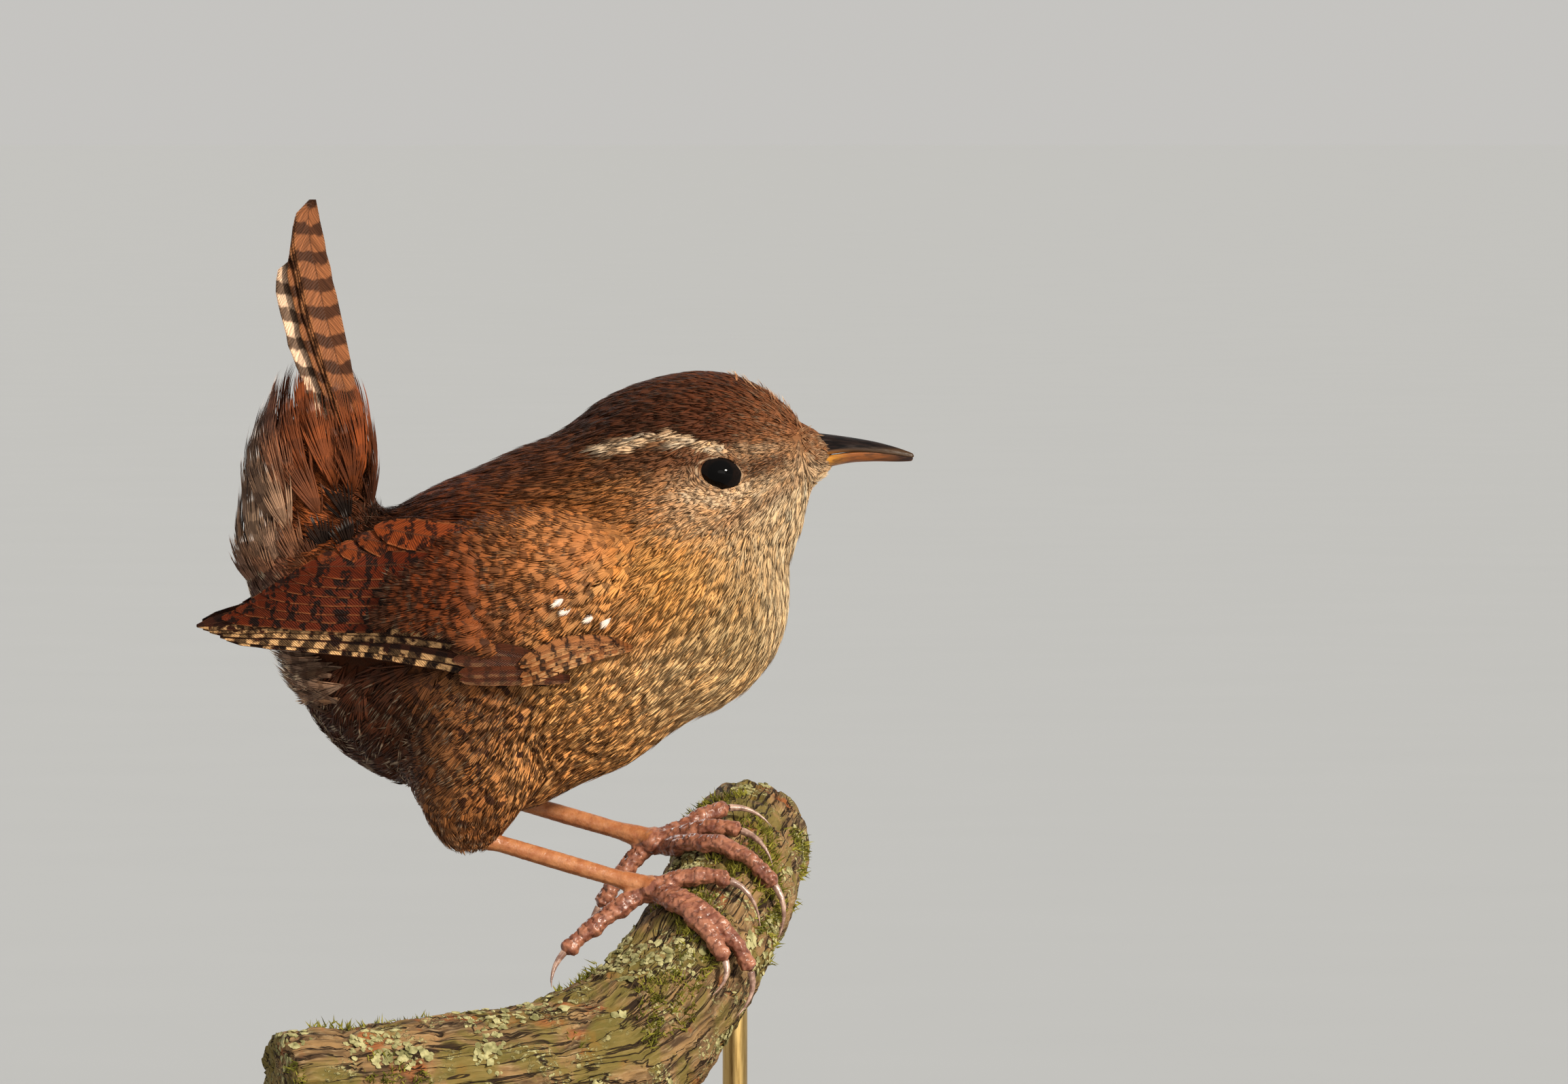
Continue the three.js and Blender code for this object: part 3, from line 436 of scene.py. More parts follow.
class Finish:
    """A procedural material, its nodes added one by one."""

    def __init__(self, name, roughness, specular=0.5, **constants):
        self.material = bpy.data.materials.new(name)
        self.material.use_nodes = True
        self.nodes = self.material.node_tree.nodes
        self.links = self.material.node_tree.links
        self.shader = self.nodes["Principled BSDF"]
        self.shader.inputs["Roughness"].default_value = roughness
        self.shader.inputs["Specular IOR Level"].default_value = specular
        for label, value in constants.items():
            self.shader.inputs[label.replace("_", " ")].default_value = value
        # The last bump, which the next one builds on
        self.height = None

    def node(self, kind, settings=None, **inputs):
        """A new node. An input is named by its label, or by its number after the letter i."""
        made = self.nodes.new(kind)
        for label, value in (settings or {}).items():
            setattr(made, label, value)
        for label, value in inputs.items():
            numbered = label[0] == "i" and label[1:].isdigit()
            key = int(label[1:]) if numbered else label.replace("_", " ")
            self.feed(made.inputs[key], value)
        return made

    def feed(self, socket, value):
        """Links a socket to another, or sets it to a number or a colour."""
        if isinstance(value, bpy.types.NodeSocket):
            self.links.new(value, socket)
        elif socket.type == "RGBA" and len(value) == 3:
            socket.default_value = (*value, 1)
        else:
            socket.default_value = value

    def place(self, scale=(1, 1, 1)):
        """Object coordinates in millimetres."""
        coordinates = self.node("ShaderNodeTexCoord").outputs["Object"]
        size = tuple(1 / MM * s for s in scale)
        return self.node("ShaderNodeMapping", i0=coordinates, i3=size).outputs[0]

    def attribute(self, name):
        return self.node("ShaderNodeAttribute", {"attribute_name": name}).outputs["Color"]

    def split(self, colour):
        return self.node("ShaderNodeSeparateColor", i0=colour).outputs

    def map_of(self, name):
        row = self.node("ShaderNodeUVMap", {"uv_map": name}).outputs[0]
        return self.node("ShaderNodeSeparateXYZ", i0=row).outputs

    def math(self, operation, a, b=0.0, clamp=False):
        settings = {"operation": operation, "use_clamp": clamp}
        return self.node("ShaderNodeMath", settings, i0=a, i1=b).outputs[0]

    def times(self, a, b):
        return self.math("MULTIPLY", a, b)

    def step(self, value, low, high, start=0.0, end=1.0):
        """From start to end, with soft corners, as the value climbs from low to high."""
        return self.node("ShaderNodeMapRange", {"interpolation_type": "SMOOTHSTEP"},
                         i0=value, i1=low, i2=high, i3=start, i4=end).outputs[0]

    def mix(self, share, a, b, blend="MIX"):
        made = self.nodes.new("ShaderNodeMix")
        made.data_type = "RGBA"
        made.blend_type = blend
        for socket, value in ((0, share), (6, a), (7, b)):
            self.feed(made.inputs[socket], value)
        return made.outputs[2]

    def blend(self, value, low, high, first, second):
        """From the first colour to the second as the value climbs from low to high."""
        return self.mix(self.step(value, low, high), first, second)

    def grey(self, light):
        return self.node("ShaderNodeCombineColor", i0=light, i1=light, i2=light).outputs[0]

    def shaded(self, colour, light):
        return self.mix(1.0, colour, self.grey(light), "MULTIPLY")

    def noise(self, vector, scale, detail=2.0, distortion=0.0):
        return self.node("ShaderNodeTexNoise", Vector=vector, Scale=scale, Detail=detail,
                         Distortion=distortion).outputs["Fac"]

    def colour(self, value):
        self.feed(self.shader.inputs["Base Color"], value)

    def rough(self, value):
        self.feed(self.shader.inputs["Roughness"], value)

    def bump(self, height, distance, strength=1.0):
        made = self.node("ShaderNodeBump", Strength=strength, Distance=distance * MM, Height=height)
        if self.height is not None:
            self.links.new(self.height, made.inputs["Normal"])
        self.height = made.outputs[0]
        self.links.new(self.height, self.shader.inputs["Normal"])


DARK_BROWN = tone(58, 34, 22)
PALE_TIP = tone(226, 200, 166)
# How much darker and lighter single barbs of the coat, and streaks of a vane, are than their feather
BARB_LIGHT = (0.92, 1.34)
STREAK_LIGHT = (0.62, 1.5)


def coat_finish(name, bar_period, dark=DARK_BROWN, pale=PALE_TIP):
    """Body feathers: their own tint, bars and pale tips along the feather, lighter and darker barbs.

    Map Plume: millimetres from the tip and the barb's number. Attribute marks: bars, paleness, chance."""
    finish = Finish(name, 0.55, 0.1)
    along, barb, _ = finish.map_of("Plume")
    bars, frost, chance = finish.split(finish.attribute("marks"))[:3]
    tint = finish.attribute("tint")
    wobble = finish.noise(finish.place(), 0.9, 2)
    turn = finish.math("ADD", finish.math("DIVIDE", along, bar_period), finish.times(wobble, 0.9))
    turn = finish.math("ADD", turn, finish.times(chance, 0.5))
    wave = finish.math("SINE", finish.times(turn, 2 * math.pi))
    band = finish.times(finish.step(wave, -0.2, 0.45), bars)
    colour = finish.mix(band, tint, dark)
    edge = finish.times(finish.step(along, 0.15, 0.75, 1.0, 0.0), frost)
    colour = finish.mix(edge, colour, pale)
    barb_chance = finish.node("ShaderNodeTexWhiteNoise", {"noise_dimensions": "1D"}, W=barb).outputs["Value"]
    finish.colour(finish.shaded(colour, finish.step(barb_chance, 0, 1, *BARB_LIGHT)))
    fine = finish.noise(finish.place(), 7.0, 2)
    finish.bump(fine, 0.05, 0.4)
    return finish.material


def skin_finish():
    finish = Finish("feather_bed", 0.85, 0.05)
    tint = finish.attribute("tint")
    bars = finish.split(finish.attribute("marks"))[0]
    spot = finish.noise(finish.place((1, 1, 1.6)), 0.7, 3, 1.2)
    band = finish.times(finish.step(spot, 0.47, 0.6), bars)
    finish.colour(finish.mix(band, finish.mix(0.05, tint, DARK_BROWN), DARK_BROWN))
    finish.bump(finish.noise(finish.place(), 3.5, 4), 0.25, 0.8)
    return finish.material


# Coat

def spread_roots(piece, count, spacing_at, keep, seed):
    """Points spread evenly over a piece's skin, with room between them."""
    random = np.random.default_rng(seed)
    mesh = piece.data
    mesh.calc_loop_triangles()
    corners = np.empty(len(mesh.loop_triangles) * 3, np.int32)
    mesh.loop_triangles.foreach_get("vertices", corners)
    triangles = points_of(piece)[corners.reshape(-1, 3)]
    corner, one, other = triangles[:, 0], triangles[:, 1], triangles[:, 2]
    area = np.linalg.norm(np.cross(one - corner, other - corner), axis=1)
    spacing = spacing_at(triangles.mean(1))
    share = area / spacing**2
    picked = random.choice(len(triangles), count, p=share / share.sum())
    a, b = random.random((2, count))
    flip = a + b > 1
    a, b = np.where(flip, 1 - a, a)[:, None], np.where(flip, 1 - b, b)[:, None]
    corner, one, other = corner[picked], one[picked], other[picked]
    spots = corner + a * (one - corner) + b * (other - corner)
    spots = spots[keep(spots)]
    return thin_out(spots, spacing_at(spots))


def thin_out(spots, spacing):
    """Drops each point that has a kept one nearer than its spacing."""
    cell = float(spacing.max())
    kept, grid = [], {}
    keys = np.floor(spots / cell).astype(int)
    near = [(i, j, k) for i in (-1, 0, 1) for j in (-1, 0, 1) for k in (-1, 0, 1)]
    points = zip(spots.tolist(), spacing.tolist(), keys.tolist())
    for number, (spot, room, (kx, ky, kz)) in enumerate(points):
        x, y, z = spot
        limit = room * room
        free = True
        for i, j, k in near:
            for ox, oy, oz in grid.get((kx + i, ky + j, kz + k), ()):
                if (x - ox) ** 2 + (y - oy) ** 2 + (z - oz) ** 2 < limit:
                    free = False
                    break
            if not free:
                break
        if free:
            grid.setdefault((kx, ky, kz), []).append(spot)
            kept.append(number)
    return spots[kept]


# Where along a barb its sections lie, and each one's share of the width
SHORT_BARB = ((0.0, 0.75), (0.5, 1.0))
LONG_BARB = ((0.0, 0.7), (0.35, 1.0), (0.7, 0.85))
PLUME_BARB = ((0.0, 0.6), (0.25, 1.0), (0.5, 0.95), (0.78, 0.7))


# A barb's height against half its width
RIDGE = 0.45


def fan_feathers(field, root, way, length, width, low, high, barbs, shape, seed, ragged=0.1,
                 dome=0.05, barb_share=1.5, rounded=0.2, rise=0.5):
    """Feathers as fans of thin closed barbs along a field, from level low at the root to high at the tip.

    Gives points and triangles, and each point's feather, place from the tip, place across, barb and share
    along."""
    random = np.random.default_rng(seed)
    count = len(root)
    _, out = field.settle(root, field(root), 0)
    beside = np.cross(out, way)
    across = np.linspace(-1, 1, barbs)[None, :] + random.uniform(-0.6, 0.6, (count, barbs)) / barbs
    end = length[:, None] * (1 - rounded * across**2 + random.uniform(-1.4 * ragged, ragged, (count, barbs)))
    start = length[:, None] * (0.02 + 0.22 * (1 - np.abs(across)).clip(0, 1))
    reach = width[:, None] / 2 * across * (1 + random.uniform(-ragged, ragged, (count, barbs)))
    lift = random.uniform(-1, 1, (count, barbs))
    stations = [share for share, _ in shape] + [1.0]
    path, normals, levels = [], [], []
    # The middle line of every barb, station by station
    for share in stations:
        along = start + (end - start) * share
        side = reach * share**0.8
        q = along / length[:, None]
        level = low[:, None] + (high - low)[:, None] * q.clip(0, 1.2) ** rise
        level = level - dome * width[:, None] * (across * share) ** 2 + 0.25 * ragged * lift * share
        spot = root[:, None] + way[:, None] * along[..., None] + beside[:, None] * side[..., None]
        placed, normal = field.settle(spot.reshape(-1, 3), level.ravel(), 2)
        path.append(placed)
        normals.append(normal)
        levels.append(q)
    path = np.stack(path)
    thick = (width / barbs)[:, None].repeat(barbs, 1).ravel() * barb_share
    verts, from_tip, share_along = [], [], []
    number = np.arange(count)[:, None].repeat(barbs, 1).ravel()
    barb_number = np.arange(count * barbs)
    flat_length = length[:, None].repeat(barbs, 1).ravel()
    # Three corners round each station: two sides and a low ridge
    for k, (share, stout) in enumerate(shape):
        tangent = unit(path[k + 1] - path[max(k - 1, 0)])
        sideways = unit(np.cross(normals[k], tangent))
        half = (0.5 * stout * thick)[:, None]
        for corner in (-half * sideways, half * sideways, RIDGE * half * normals[k]):
            verts.append(path[k] + corner)
            from_tip.append(flat_length * (1 - levels[k].ravel()))
            share_along.append(np.full(len(number), share))
    verts.append(path[-1])
    from_tip.append(flat_length * (1 - levels[-1].ravel()))
    share_along.append(np.ones(len(number)))
    per_barb = len(verts)
    verts = np.stack(verts, axis=1).reshape(-1, 3)
    pattern = [(0, 2, 1)]
    for k in range(len(shape) - 1):
        for a, b in ((0, 1), (1, 2), (2, 0)):
            near, far = 3 * k, 3 * k + 3
            pattern += [(near + a, near + b, far + b), (near + a, far + b, far + a)]
    last = 3 * (len(shape) - 1)
    pattern += [(last + a, last + b, per_barb - 1) for a, b in ((0, 1), (1, 2), (2, 0))]
    triangles = np.array(pattern)[None] + (per_barb * barb_number)[:, None, None]
    return {
        "verts": verts, "triangles": triangles.reshape(-1, 3), "feather": number.repeat(per_barb),
        "from_tip": np.stack(from_tip, axis=1).ravel(), "across": across.ravel().repeat(per_barb),
        "barb": barb_number.repeat(per_barb), "share": np.stack(share_along, axis=1).ravel(),
        "per_feather": per_barb * barbs,
    }


# Most triangles in one piece of the coat, and how wide a feather's patch on its OFBake map is
LARGEST_COAT = 190_000
BAKE_PATCH = 0.003


def coat_pieces(name, fans, root, tint, marks, material):
    """Joined meshes of feathers, each under the limit on triangles."""
    number = fans["feather"]
    plume = np.stack([fans["from_tip"], fans["barb"] % 997 + 0.5], axis=1)
    patch = BAKE_PATCH * np.stack([0.5 * fans["across"], fans["share"] - 0.5], axis=1)
    bake = bake_spot(root)[number] + patch
    colours = {"tint": tint[number], "marks": marks[number]}
    per_triangles = len(fans["triangles"]) // len(root)
    per_verts = fans["per_feather"]
    step = LARGEST_COAT // per_triangles
    pieces = []
    for part, start in enumerate(range(0, len(root), step)):
        stop = min(start + step, len(root))
        verts = slice(start * per_verts, stop * per_verts)
        triangles = fans["triangles"][start * per_triangles:stop * per_triangles] - start * per_verts
        uvs = {"Plume": plume[verts], "OFBake": bake[verts]}
        chosen = {label: rows[verts] for label, rows in colours.items()}
        piece = triangle_piece(f"{name}_{part + 1}", fans["verts"][verts], triangles, material, uvs, chosen)
        pieces.append(piece)
    return pieces


def varied(tint, random, amount=0.12):
    """Feather by feather: lighter and darker, and a little redder or greyer."""
    light = 1 + random.normal(0, amount, (len(tint), 1))
    warm = random.normal(0, 0.05, (len(tint), 1)) * np.array([[1, 0, -1.2]])
    return np.clip(tint * light.clip(0.6, 1.5) * (1 + warm), 0, 1)


def eye_room(p):
    """How far out points lie round the eye's opening: 1 on its edge."""
    return np.linalg.norm((p[:, [0, 2]] - EYE[[0, 2]]) / EYE_OPENING, axis=1)


def under_wing(p):
    """True where the folded wing hides the body's own feathers."""
    pad = np.hypot((p[:, 0] + 8.5) / 10, (p[:, 2] - 71.8) / 5.8) < 1
    blade = (p[:, 0] < -6) & (p[:, 0] > -30) & (p[:, 2] > 64.6) & (p[:, 2] < 72.5)
    return (pad | blade) & (np.abs(p[:, 1]) > 6)


def bare(p):
    beside = np.abs(p[:, 1])
    eye = (eye_room(p) < 1.1) & (beside > 4)
    bill = (np.hypot(p[:, 1] / 2.3, (p[:, 2] - 86.9) / 2.6) < 1) & (p[:, 0] > 20)
    heel = p[:, 2] < 45.2
    return eye | bill | heel | under_wing(p)


def make_skin():
    """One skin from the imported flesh, drawn in under the feathers by their depth."""
    skin = copy_of("skin", "torso", "neck", "head", "thigh_right", "thigh_left")
    fillers = []
    spots = [(EYE * (1, side, 1), (3.4, 3.4, 3.4)) for side in (-1, 1)]
    spots += [((21, 0, 86.4), (3.4, 3, 3.4)), ((-29.8, 0, 77), (6.6, 6.6, 9.5))]
    for middle, size in spots:
        only(skin)
        bpy.ops.mesh.primitive_ico_sphere_add(subdivisions=4, radius=MM, location=Vector(middle) * MM)
        filler = bpy.context.object
        filler.scale = size
        apply_place(filler)
        fillers.append(filler)
    swell = skin.modifiers.new("Swell", "DISPLACE")
    swell.strength = 0.45 * MM
    swell.mid_level = 0
    apply_all(skin)
    join(skin, *fillers)
    remesh(skin, 0.7)
    smooth_form(skin, 0.5, 4)
    rows = points_of(skin)
    for _ in range(3):
        rows, _ = BODY_FIELD.settle(rows, -coat_depth(rows), 1)
    set_points(skin, rows)
    tint, bars, frost, _ = plumage(rows)
    paint_points(skin, "tint", tint)
    paint_points(skin, "marks", np.stack([bars, frost, bars * 0], axis=1))
    skin.data.materials.append(skin_finish())
    shade_smooth(skin)
    return dress(skin, "plumage", "torso", "neck", "head", "thigh_right", "thigh_left", "tail_coverts")


# Feathers stand closer than the regions' spacing by this share
COAT_DENSITY = 0.74


def body_coat(skin):
    random = np.random.default_rng(SEED)
    thin = 1.0
    tries = 130_000
    spacing_at = lambda p: plumage(p)[3] * thin * COAT_DENSITY
    root = spread_roots(skin, tries, spacing_at, lambda p: ~bare(p), SEED)
    _, out = BODY_FIELD.settle(root, BODY_FIELD(root), 0)
    way = lie(root, out)
    spacing = plumage(root)[3]
    depth = coat_depth(root)
    loose = ramp(-root[:, 0], 4, 22) * (1 - ramp(root[:, 2], 62, 72))
    jitter = random.uniform(0.75, 1.25, len(root))
    length = spacing * (4.7 + 0.6 * loose) * jitter * thin
    width = spacing * (1.5 + 0.7 * loose) * random.uniform(0.8, 1.25, len(root)) * thin
    near_eye = (eye_room(root) < 2.2) & (np.abs(root[:, 1]) > 4)
    length = np.where(near_eye, length * 0.5, length)
    heel = ramp(root[:, 2], 46, 52)
    length = length * (0.5 + 0.5 * heel)
    low = -depth * 1.05
    high = random.normal(-0.08, 0.05, len(root)) + 0.5 * loose * random.random(len(root))
    high = np.where(near_eye, -0.3, high)
    turn = random.normal(0, 0.13 + 0.1 * loose, len(root))[:, None]
    way = unit(way + np.cross(out, way) * turn)
    # A feather shows mostly its outer half, so it takes the colour of that place
    tint, bars, frost, _ = plumage(root + way * length[:, None] * 0.65)
    tint = varied(tint, random, 0.06)
    marks = np.stack([np.clip(bars * random.uniform(0.6, 1.25, len(root)), 0, 1),
                      np.clip(frost * random.uniform(0.35, 0.95, len(root)), 0, 1),
                      random.random(len(root))], axis=1)
    fine = spacing < 0.72
    soft = ~fine & (loose > 0.25)
    plain = ~fine & ~soft
    for name, chosen, barbs, shape, ragged, period in (
        ("coat_face", fine, 5, SHORT_BARB, 0.3, 0.95),
        ("coat_body", plain, 7, SHORT_BARB, 0.3, 1.75),
        ("coat_flank", soft, 11, LONG_BARB, 0.24, 1.9),
    ):
        rows = np.flatnonzero(chosen)
        fans = fan_feathers(BODY_FIELD, root[rows], way[rows], length[rows], width[rows], low[rows],
                            high[rows], barbs, shape, SEED + len(rows), ragged, barb_share=1.25)
        material = coat_finish(name + "_feathers", period)
        for piece in coat_pieces(name, fans, root[rows], tint[rows], marks[rows], material):
            dress(piece, "plumage")


def loose_feathers(name, spots, way, length, width, lift, tint, frost, bars, barbs, seed, period=1.4):
    """A few feathers set one by one: where they root, how they point and how far their tips stand off."""
    random = np.random.default_rng(seed)
    depth = np.full(len(spots), -0.7)
    root, out = BODY_FIELD.settle(np.array(spots, float), depth, 4)
    way = unit(way - 0.6 * out * dot(way, out))
    count = len(root)
    marks = np.stack([np.full(count, bars), np.full(count, frost), random.random(count)], axis=1)
    fans = fan_feathers(BODY_FIELD, root, way, length, width, depth, lift, barbs, PLUME_BARB, seed, 0.16,
                        barb_share=1.1)
    tint = varied(tint, random, 0.12)
    for piece in coat_pieces(name, fans, root, tint, marks, coat_finish(name, period)):
        dress(piece, "plumage")


def tuft(name, random, spots, lean, stray, lengths, slim, lifts, colour, frost, bars, barbs, seed):
    """Loose feathers that all lean one way, give or take a stray, and are this slim for their length."""
    count = len(spots)
    way = unit(np.array(lean) + random.normal(0, stray, (count, 3)))
    length = random.uniform(*lengths, count)
    lift = random.uniform(*lifts, count)
    tint = np.tile(linear(*colour), (count, 1))
    loose_feathers(name, spots, way, length, length * slim, lift, tint, frost, bars, barbs, seed)


def either_side(random, count):
    return np.where(random.random(count) < 0.5, -1, 1)


def face_tufts():
    """Pale tips standing on the forehead, the pointed tuft of the chin and bristles over the bill's root."""
    random = np.random.default_rng(SEED + 5)
    count = 44
    x = random.uniform(17.5, 25.5, count)
    y = random.uniform(-3.6, 3.6, count)
    spots = np.stack([x, y, np.full(count, 98.0) - 0.9 * (x - 17.5)], axis=1)
    tuft("coat_forehead", random, spots, (-0.25, 0, 1.0), 0.25, (1.1, 2.0), 0.22, (0.1, 0.6), (150, 104, 72),
         0.7, 0.2, 4, SEED + 6)
    count = 46
    spots = np.stack([random.uniform(23.2, 25.6, count), random.uniform(-1.8, 1.8, count),
                      random.uniform(83.2, 85.2, count)], axis=1)
    tuft("coat_chin", random, spots, (0.9, 0, -0.35), 0.2, (1.4, 2.9), 0.2, (-0.1, 0.15), (212, 180, 140),
         0.5, 0.1, 4, SEED + 7)
    count = 60
    side = either_side(random, count)
    spots = np.stack([random.uniform(22.5, 25.6, count), side * random.uniform(1.4, 3.4, count),
                      random.uniform(86.2, 89.6, count)], axis=1)
    tuft("coat_bristles", random, spots, (0.9, 0, 0.25), 0.22, (1.2, 2.2), 0.26, (0.0, 0.3), (150, 102, 66),
         0.25, 0.5, 5, SEED + 8)


def rear_fluff():
    """Long loose flank feathers that reach out from under the wing tip."""
    random = np.random.default_rng(SEED + 9)
    count = 170
    side = either_side(random, count)
    x = random.uniform(-31, -25, count)
    z = 60.5 + 4.2 * random.random(count) - 0.35 * (x + 28)
    spots = np.stack([x, side * random.uniform(3, 9, count), z], axis=1)
    way = unit(np.array([-1.0, 0, -0.12]) + random.normal(0, 0.16, (count, 3)))
    length = random.uniform(4.5, 7.5, count)
    tint = linear(140, 108, 86) * random.uniform(0.2, 1.5, (count, 1))
    lift = random.uniform(0.3, 1.5, count)
    loose_feathers("coat_fluff", spots, way, length, length * 0.2, lift, tint, 0.95, 0.55, 9, SEED + 10, 2.1)


# Tail coverts

# Rings of tail coverts: lowest and highest root, how many, length and width
COVERT_RINGS = [
    (68, 74, 46, 8.5, 4.2), (73, 79, 44, 9.5, 4.0), (78, 84, 34, 10.5, 3.8), (83, 88, 22, 9.5, 3.2)]


def tail_coverts():
    """Long feathers that wrap the tail's root: chestnut in front, grey behind, with painted shade in the
    rump's hollow.
    """
    random = np.random.default_rng(SEED + 1)
    rows = []
    for z_low, z_high, count, length, width in COVERT_RINGS:
        for i in range(count):
            angle = 2 * math.pi * (i + random.random()) / count
            rows.append((angle, random.uniform(z_low, z_high), length * random.uniform(0.85, 1.15), width))
    angle, z, length, width = np.array(rows).T
    out = np.stack([np.cos(angle), np.sin(angle), np.zeros(len(angle))], axis=1)
    spine = np.stack([np.full(len(z), -29.8), np.zeros(len(z)), z], axis=1)
    root, normal = FLAME_FIELD.settle(spine + out * 5, np.full(len(z), -1.6), 6)
    hollow = (root[:, 0] > -24) & (root[:, 2] < 75)
    inside = BODY_FIELD(root) < -3.4
    keep = ~hollow & ~inside
    root, normal, length, width = root[keep], normal[keep], length[keep], width[keep]
    rear = ramp(-root[:, 0], 30, 36)
    way = unit(root - np.array([-22.5, 0, 76])) * 0.55 + np.array([0, 0, 1.0])
    way = unit(way - normal * dot(way, normal))
    length = np.minimum(length, 98.5 - root[:, 2])
    tint = linear(122, 62, 31) * (1 - rear[:, None]) + linear(84, 60, 50) * rear[:, None]
    grey = np.exp(-((root[:, 0] + 33) / 3.6) ** 2 - ((root[:, 2] - 76) / 4.2) ** 2)[:, None]
    tint = tint * (1 - grey) + linear(150, 122, 98) * grey
    # Painted shade: coverts rooted in the hollow between the rump and the tail turn near-black, for the
    # shadow in that gap, and are shorter there
    deep = np.exp(-((root[:, 0] + 25.5) / 3.2) ** 2 - ((root[:, 2] - 76.5) / 3.8) ** 2)[:, None]
    deep = deep.clip(0, 0.38) / 0.38
    tint = tint * (1 - deep) + linear(26, 17, 13) * deep
    length = length * (1 - 0.5 * deep[:, 0])
    tint = varied(tint, random, 0.18)
    marks = np.stack([0.3 + 0.3 * rear, np.clip(0.1 + 1.0 * rear, 0, 1), random.random(len(root))], axis=1)
    count = len(root)
    low = np.full(count, -1.9)
    high = np.full(count, -0.1) + 0.5 * rear * random.random(count) + random.normal(0, 0.15, count)
    fans = fan_feathers(FLAME_FIELD, root, way, length, width, low, high, 17, PLUME_BARB, SEED + 2, 0.14,
                        barb_share=1.1)
    material = coat_finish("tail_covert_feathers", 3.1, tone(52, 34, 26), tone(226, 214, 206))
    for piece in coat_pieces("coat_tail", fans, root, tint, marks, material):
        dress(piece, "tail_coverts")


# Wings and tail: single vanes

VANE_THICKNESS = 0.13
VANE_COLUMNS = (-1, -0.8, -0.58, -0.34, -0.12, 0, 0.12, 0.34, 0.58, 0.8, 1)
VANE_ROWS = 22
LONG_OUTLINE = ((0, 0.5), (0.15, 0.8), (0.4, 1), (0.7, 0.96), (0.86, 0.78), (0.95, 0.5), (1, 0.1))
BROAD_OUTLINE = ((0, 0.5), (0.2, 0.82), (0.5, 1), (0.75, 0.95), (0.9, 0.72), (0.97, 0.42), (1, 0.1))


def vane_grid(centre, across, outward, half, random, camber=0.1, notch=0.05):
    """Rows of points over a vane's upper face from its middle line, ways across and out, and half widths."""
    columns = np.array(VANE_COLUMNS)
    edge = np.where(np.abs(columns) == 1, 1.0, 0.0)
    wear = 1 + edge[None, :] * random.uniform(-notch, notch * 0.4, (len(centre), len(columns)))
    side = half[:, None] * columns[None, :] * wear
    lift = -camber * half[:, None] * columns[None, :] ** 2
    lift = lift + 0.1 * np.exp(-((columns[None, :] / 0.09) ** 2)) * np.linspace(1, 0.3, len(centre))[:, None]
    return centre[:, None] + across[:, None] * side[..., None] + outward[:, None] * lift[..., None]


def shell(upper, outward, thickness=VANE_THICKNESS):
    """A closed thin sheet from a grid of points: its points and triangles."""
    rows, columns = upper.shape[:2]
    lower = upper - outward[:, None] * thickness
    verts = np.concatenate([upper.reshape(-1, 3), lower.reshape(-1, 3)])
    at = np.arange(rows * columns).reshape(rows, columns)
    a, b, c, d = at[:-1, :-1], at[:-1, 1:], at[1:, 1:], at[1:, :-1]
    top = np.concatenate([np.stack([a, b, c], -1).reshape(-1, 3), np.stack([a, c, d], -1).reshape(-1, 3)])
    shift = rows * columns
    under = top[:, ::-1] + shift
    rim = np.concatenate([at[0, ::-1], at[1:, 0], at[-1, 1:], at[-2:0:-1, -1]])
    ahead = np.roll(rim, -1)
    near = np.stack([rim, rim + shift, ahead + shift], -1)
    far = np.stack([rim, ahead + shift, ahead], -1)
    return verts, np.concatenate([top, under, near, far])


class VaneSet:
    """Gathers vanes and makes one piece of them."""

    def __init__(self, seed):
        self.random = np.random.default_rng(seed)
        self.verts, self.triangles = [], []
        self.vane, self.bake = [], []
        self.tint, self.marks = [], []
        self.count = 0

    def add(self, upper, outward, along, tint, marks, root, flip):
        verts, triangles = shell(upper, outward)
        if flip:
            triangles = triangles[:, ::-1]
        columns = np.array(VANE_COLUMNS)
        grid = np.stack(np.broadcast_arrays(along[:, None], columns[None, :]), axis=-1).reshape(-1, 2)
        grid = np.concatenate([grid, grid])
        spot = bake_spot(root[None])[0]
        share = np.linspace(-0.5, 0.5, len(along))
        patch = np.stack(np.broadcast_arrays(0.5 * columns[None, :], share[:, None]), axis=-1)
        patch = BAKE_PATCH * patch.reshape(-1, 2)
        self.triangles.append(triangles + self.count)
        self.verts.append(verts)
        self.vane.append(grid)
        self.bake.append(np.concatenate([patch, patch]) + spot)
        self.tint.append(np.tile(tint, (len(verts), 1)))
        self.marks.append(np.tile(marks, (len(verts), 1)))
        self.count += len(verts)

    def piece(self, name, material):
        uvs = {"Vane": np.concatenate(self.vane), "OFBake": np.concatenate(self.bake)}
        colours = {"tint": np.concatenate(self.tint), "marks": np.concatenate(self.marks)}
        verts, triangles = np.concatenate(self.verts), np.concatenate(self.triangles)
        return triangle_piece(name, verts, triangles, material, uvs, colours)


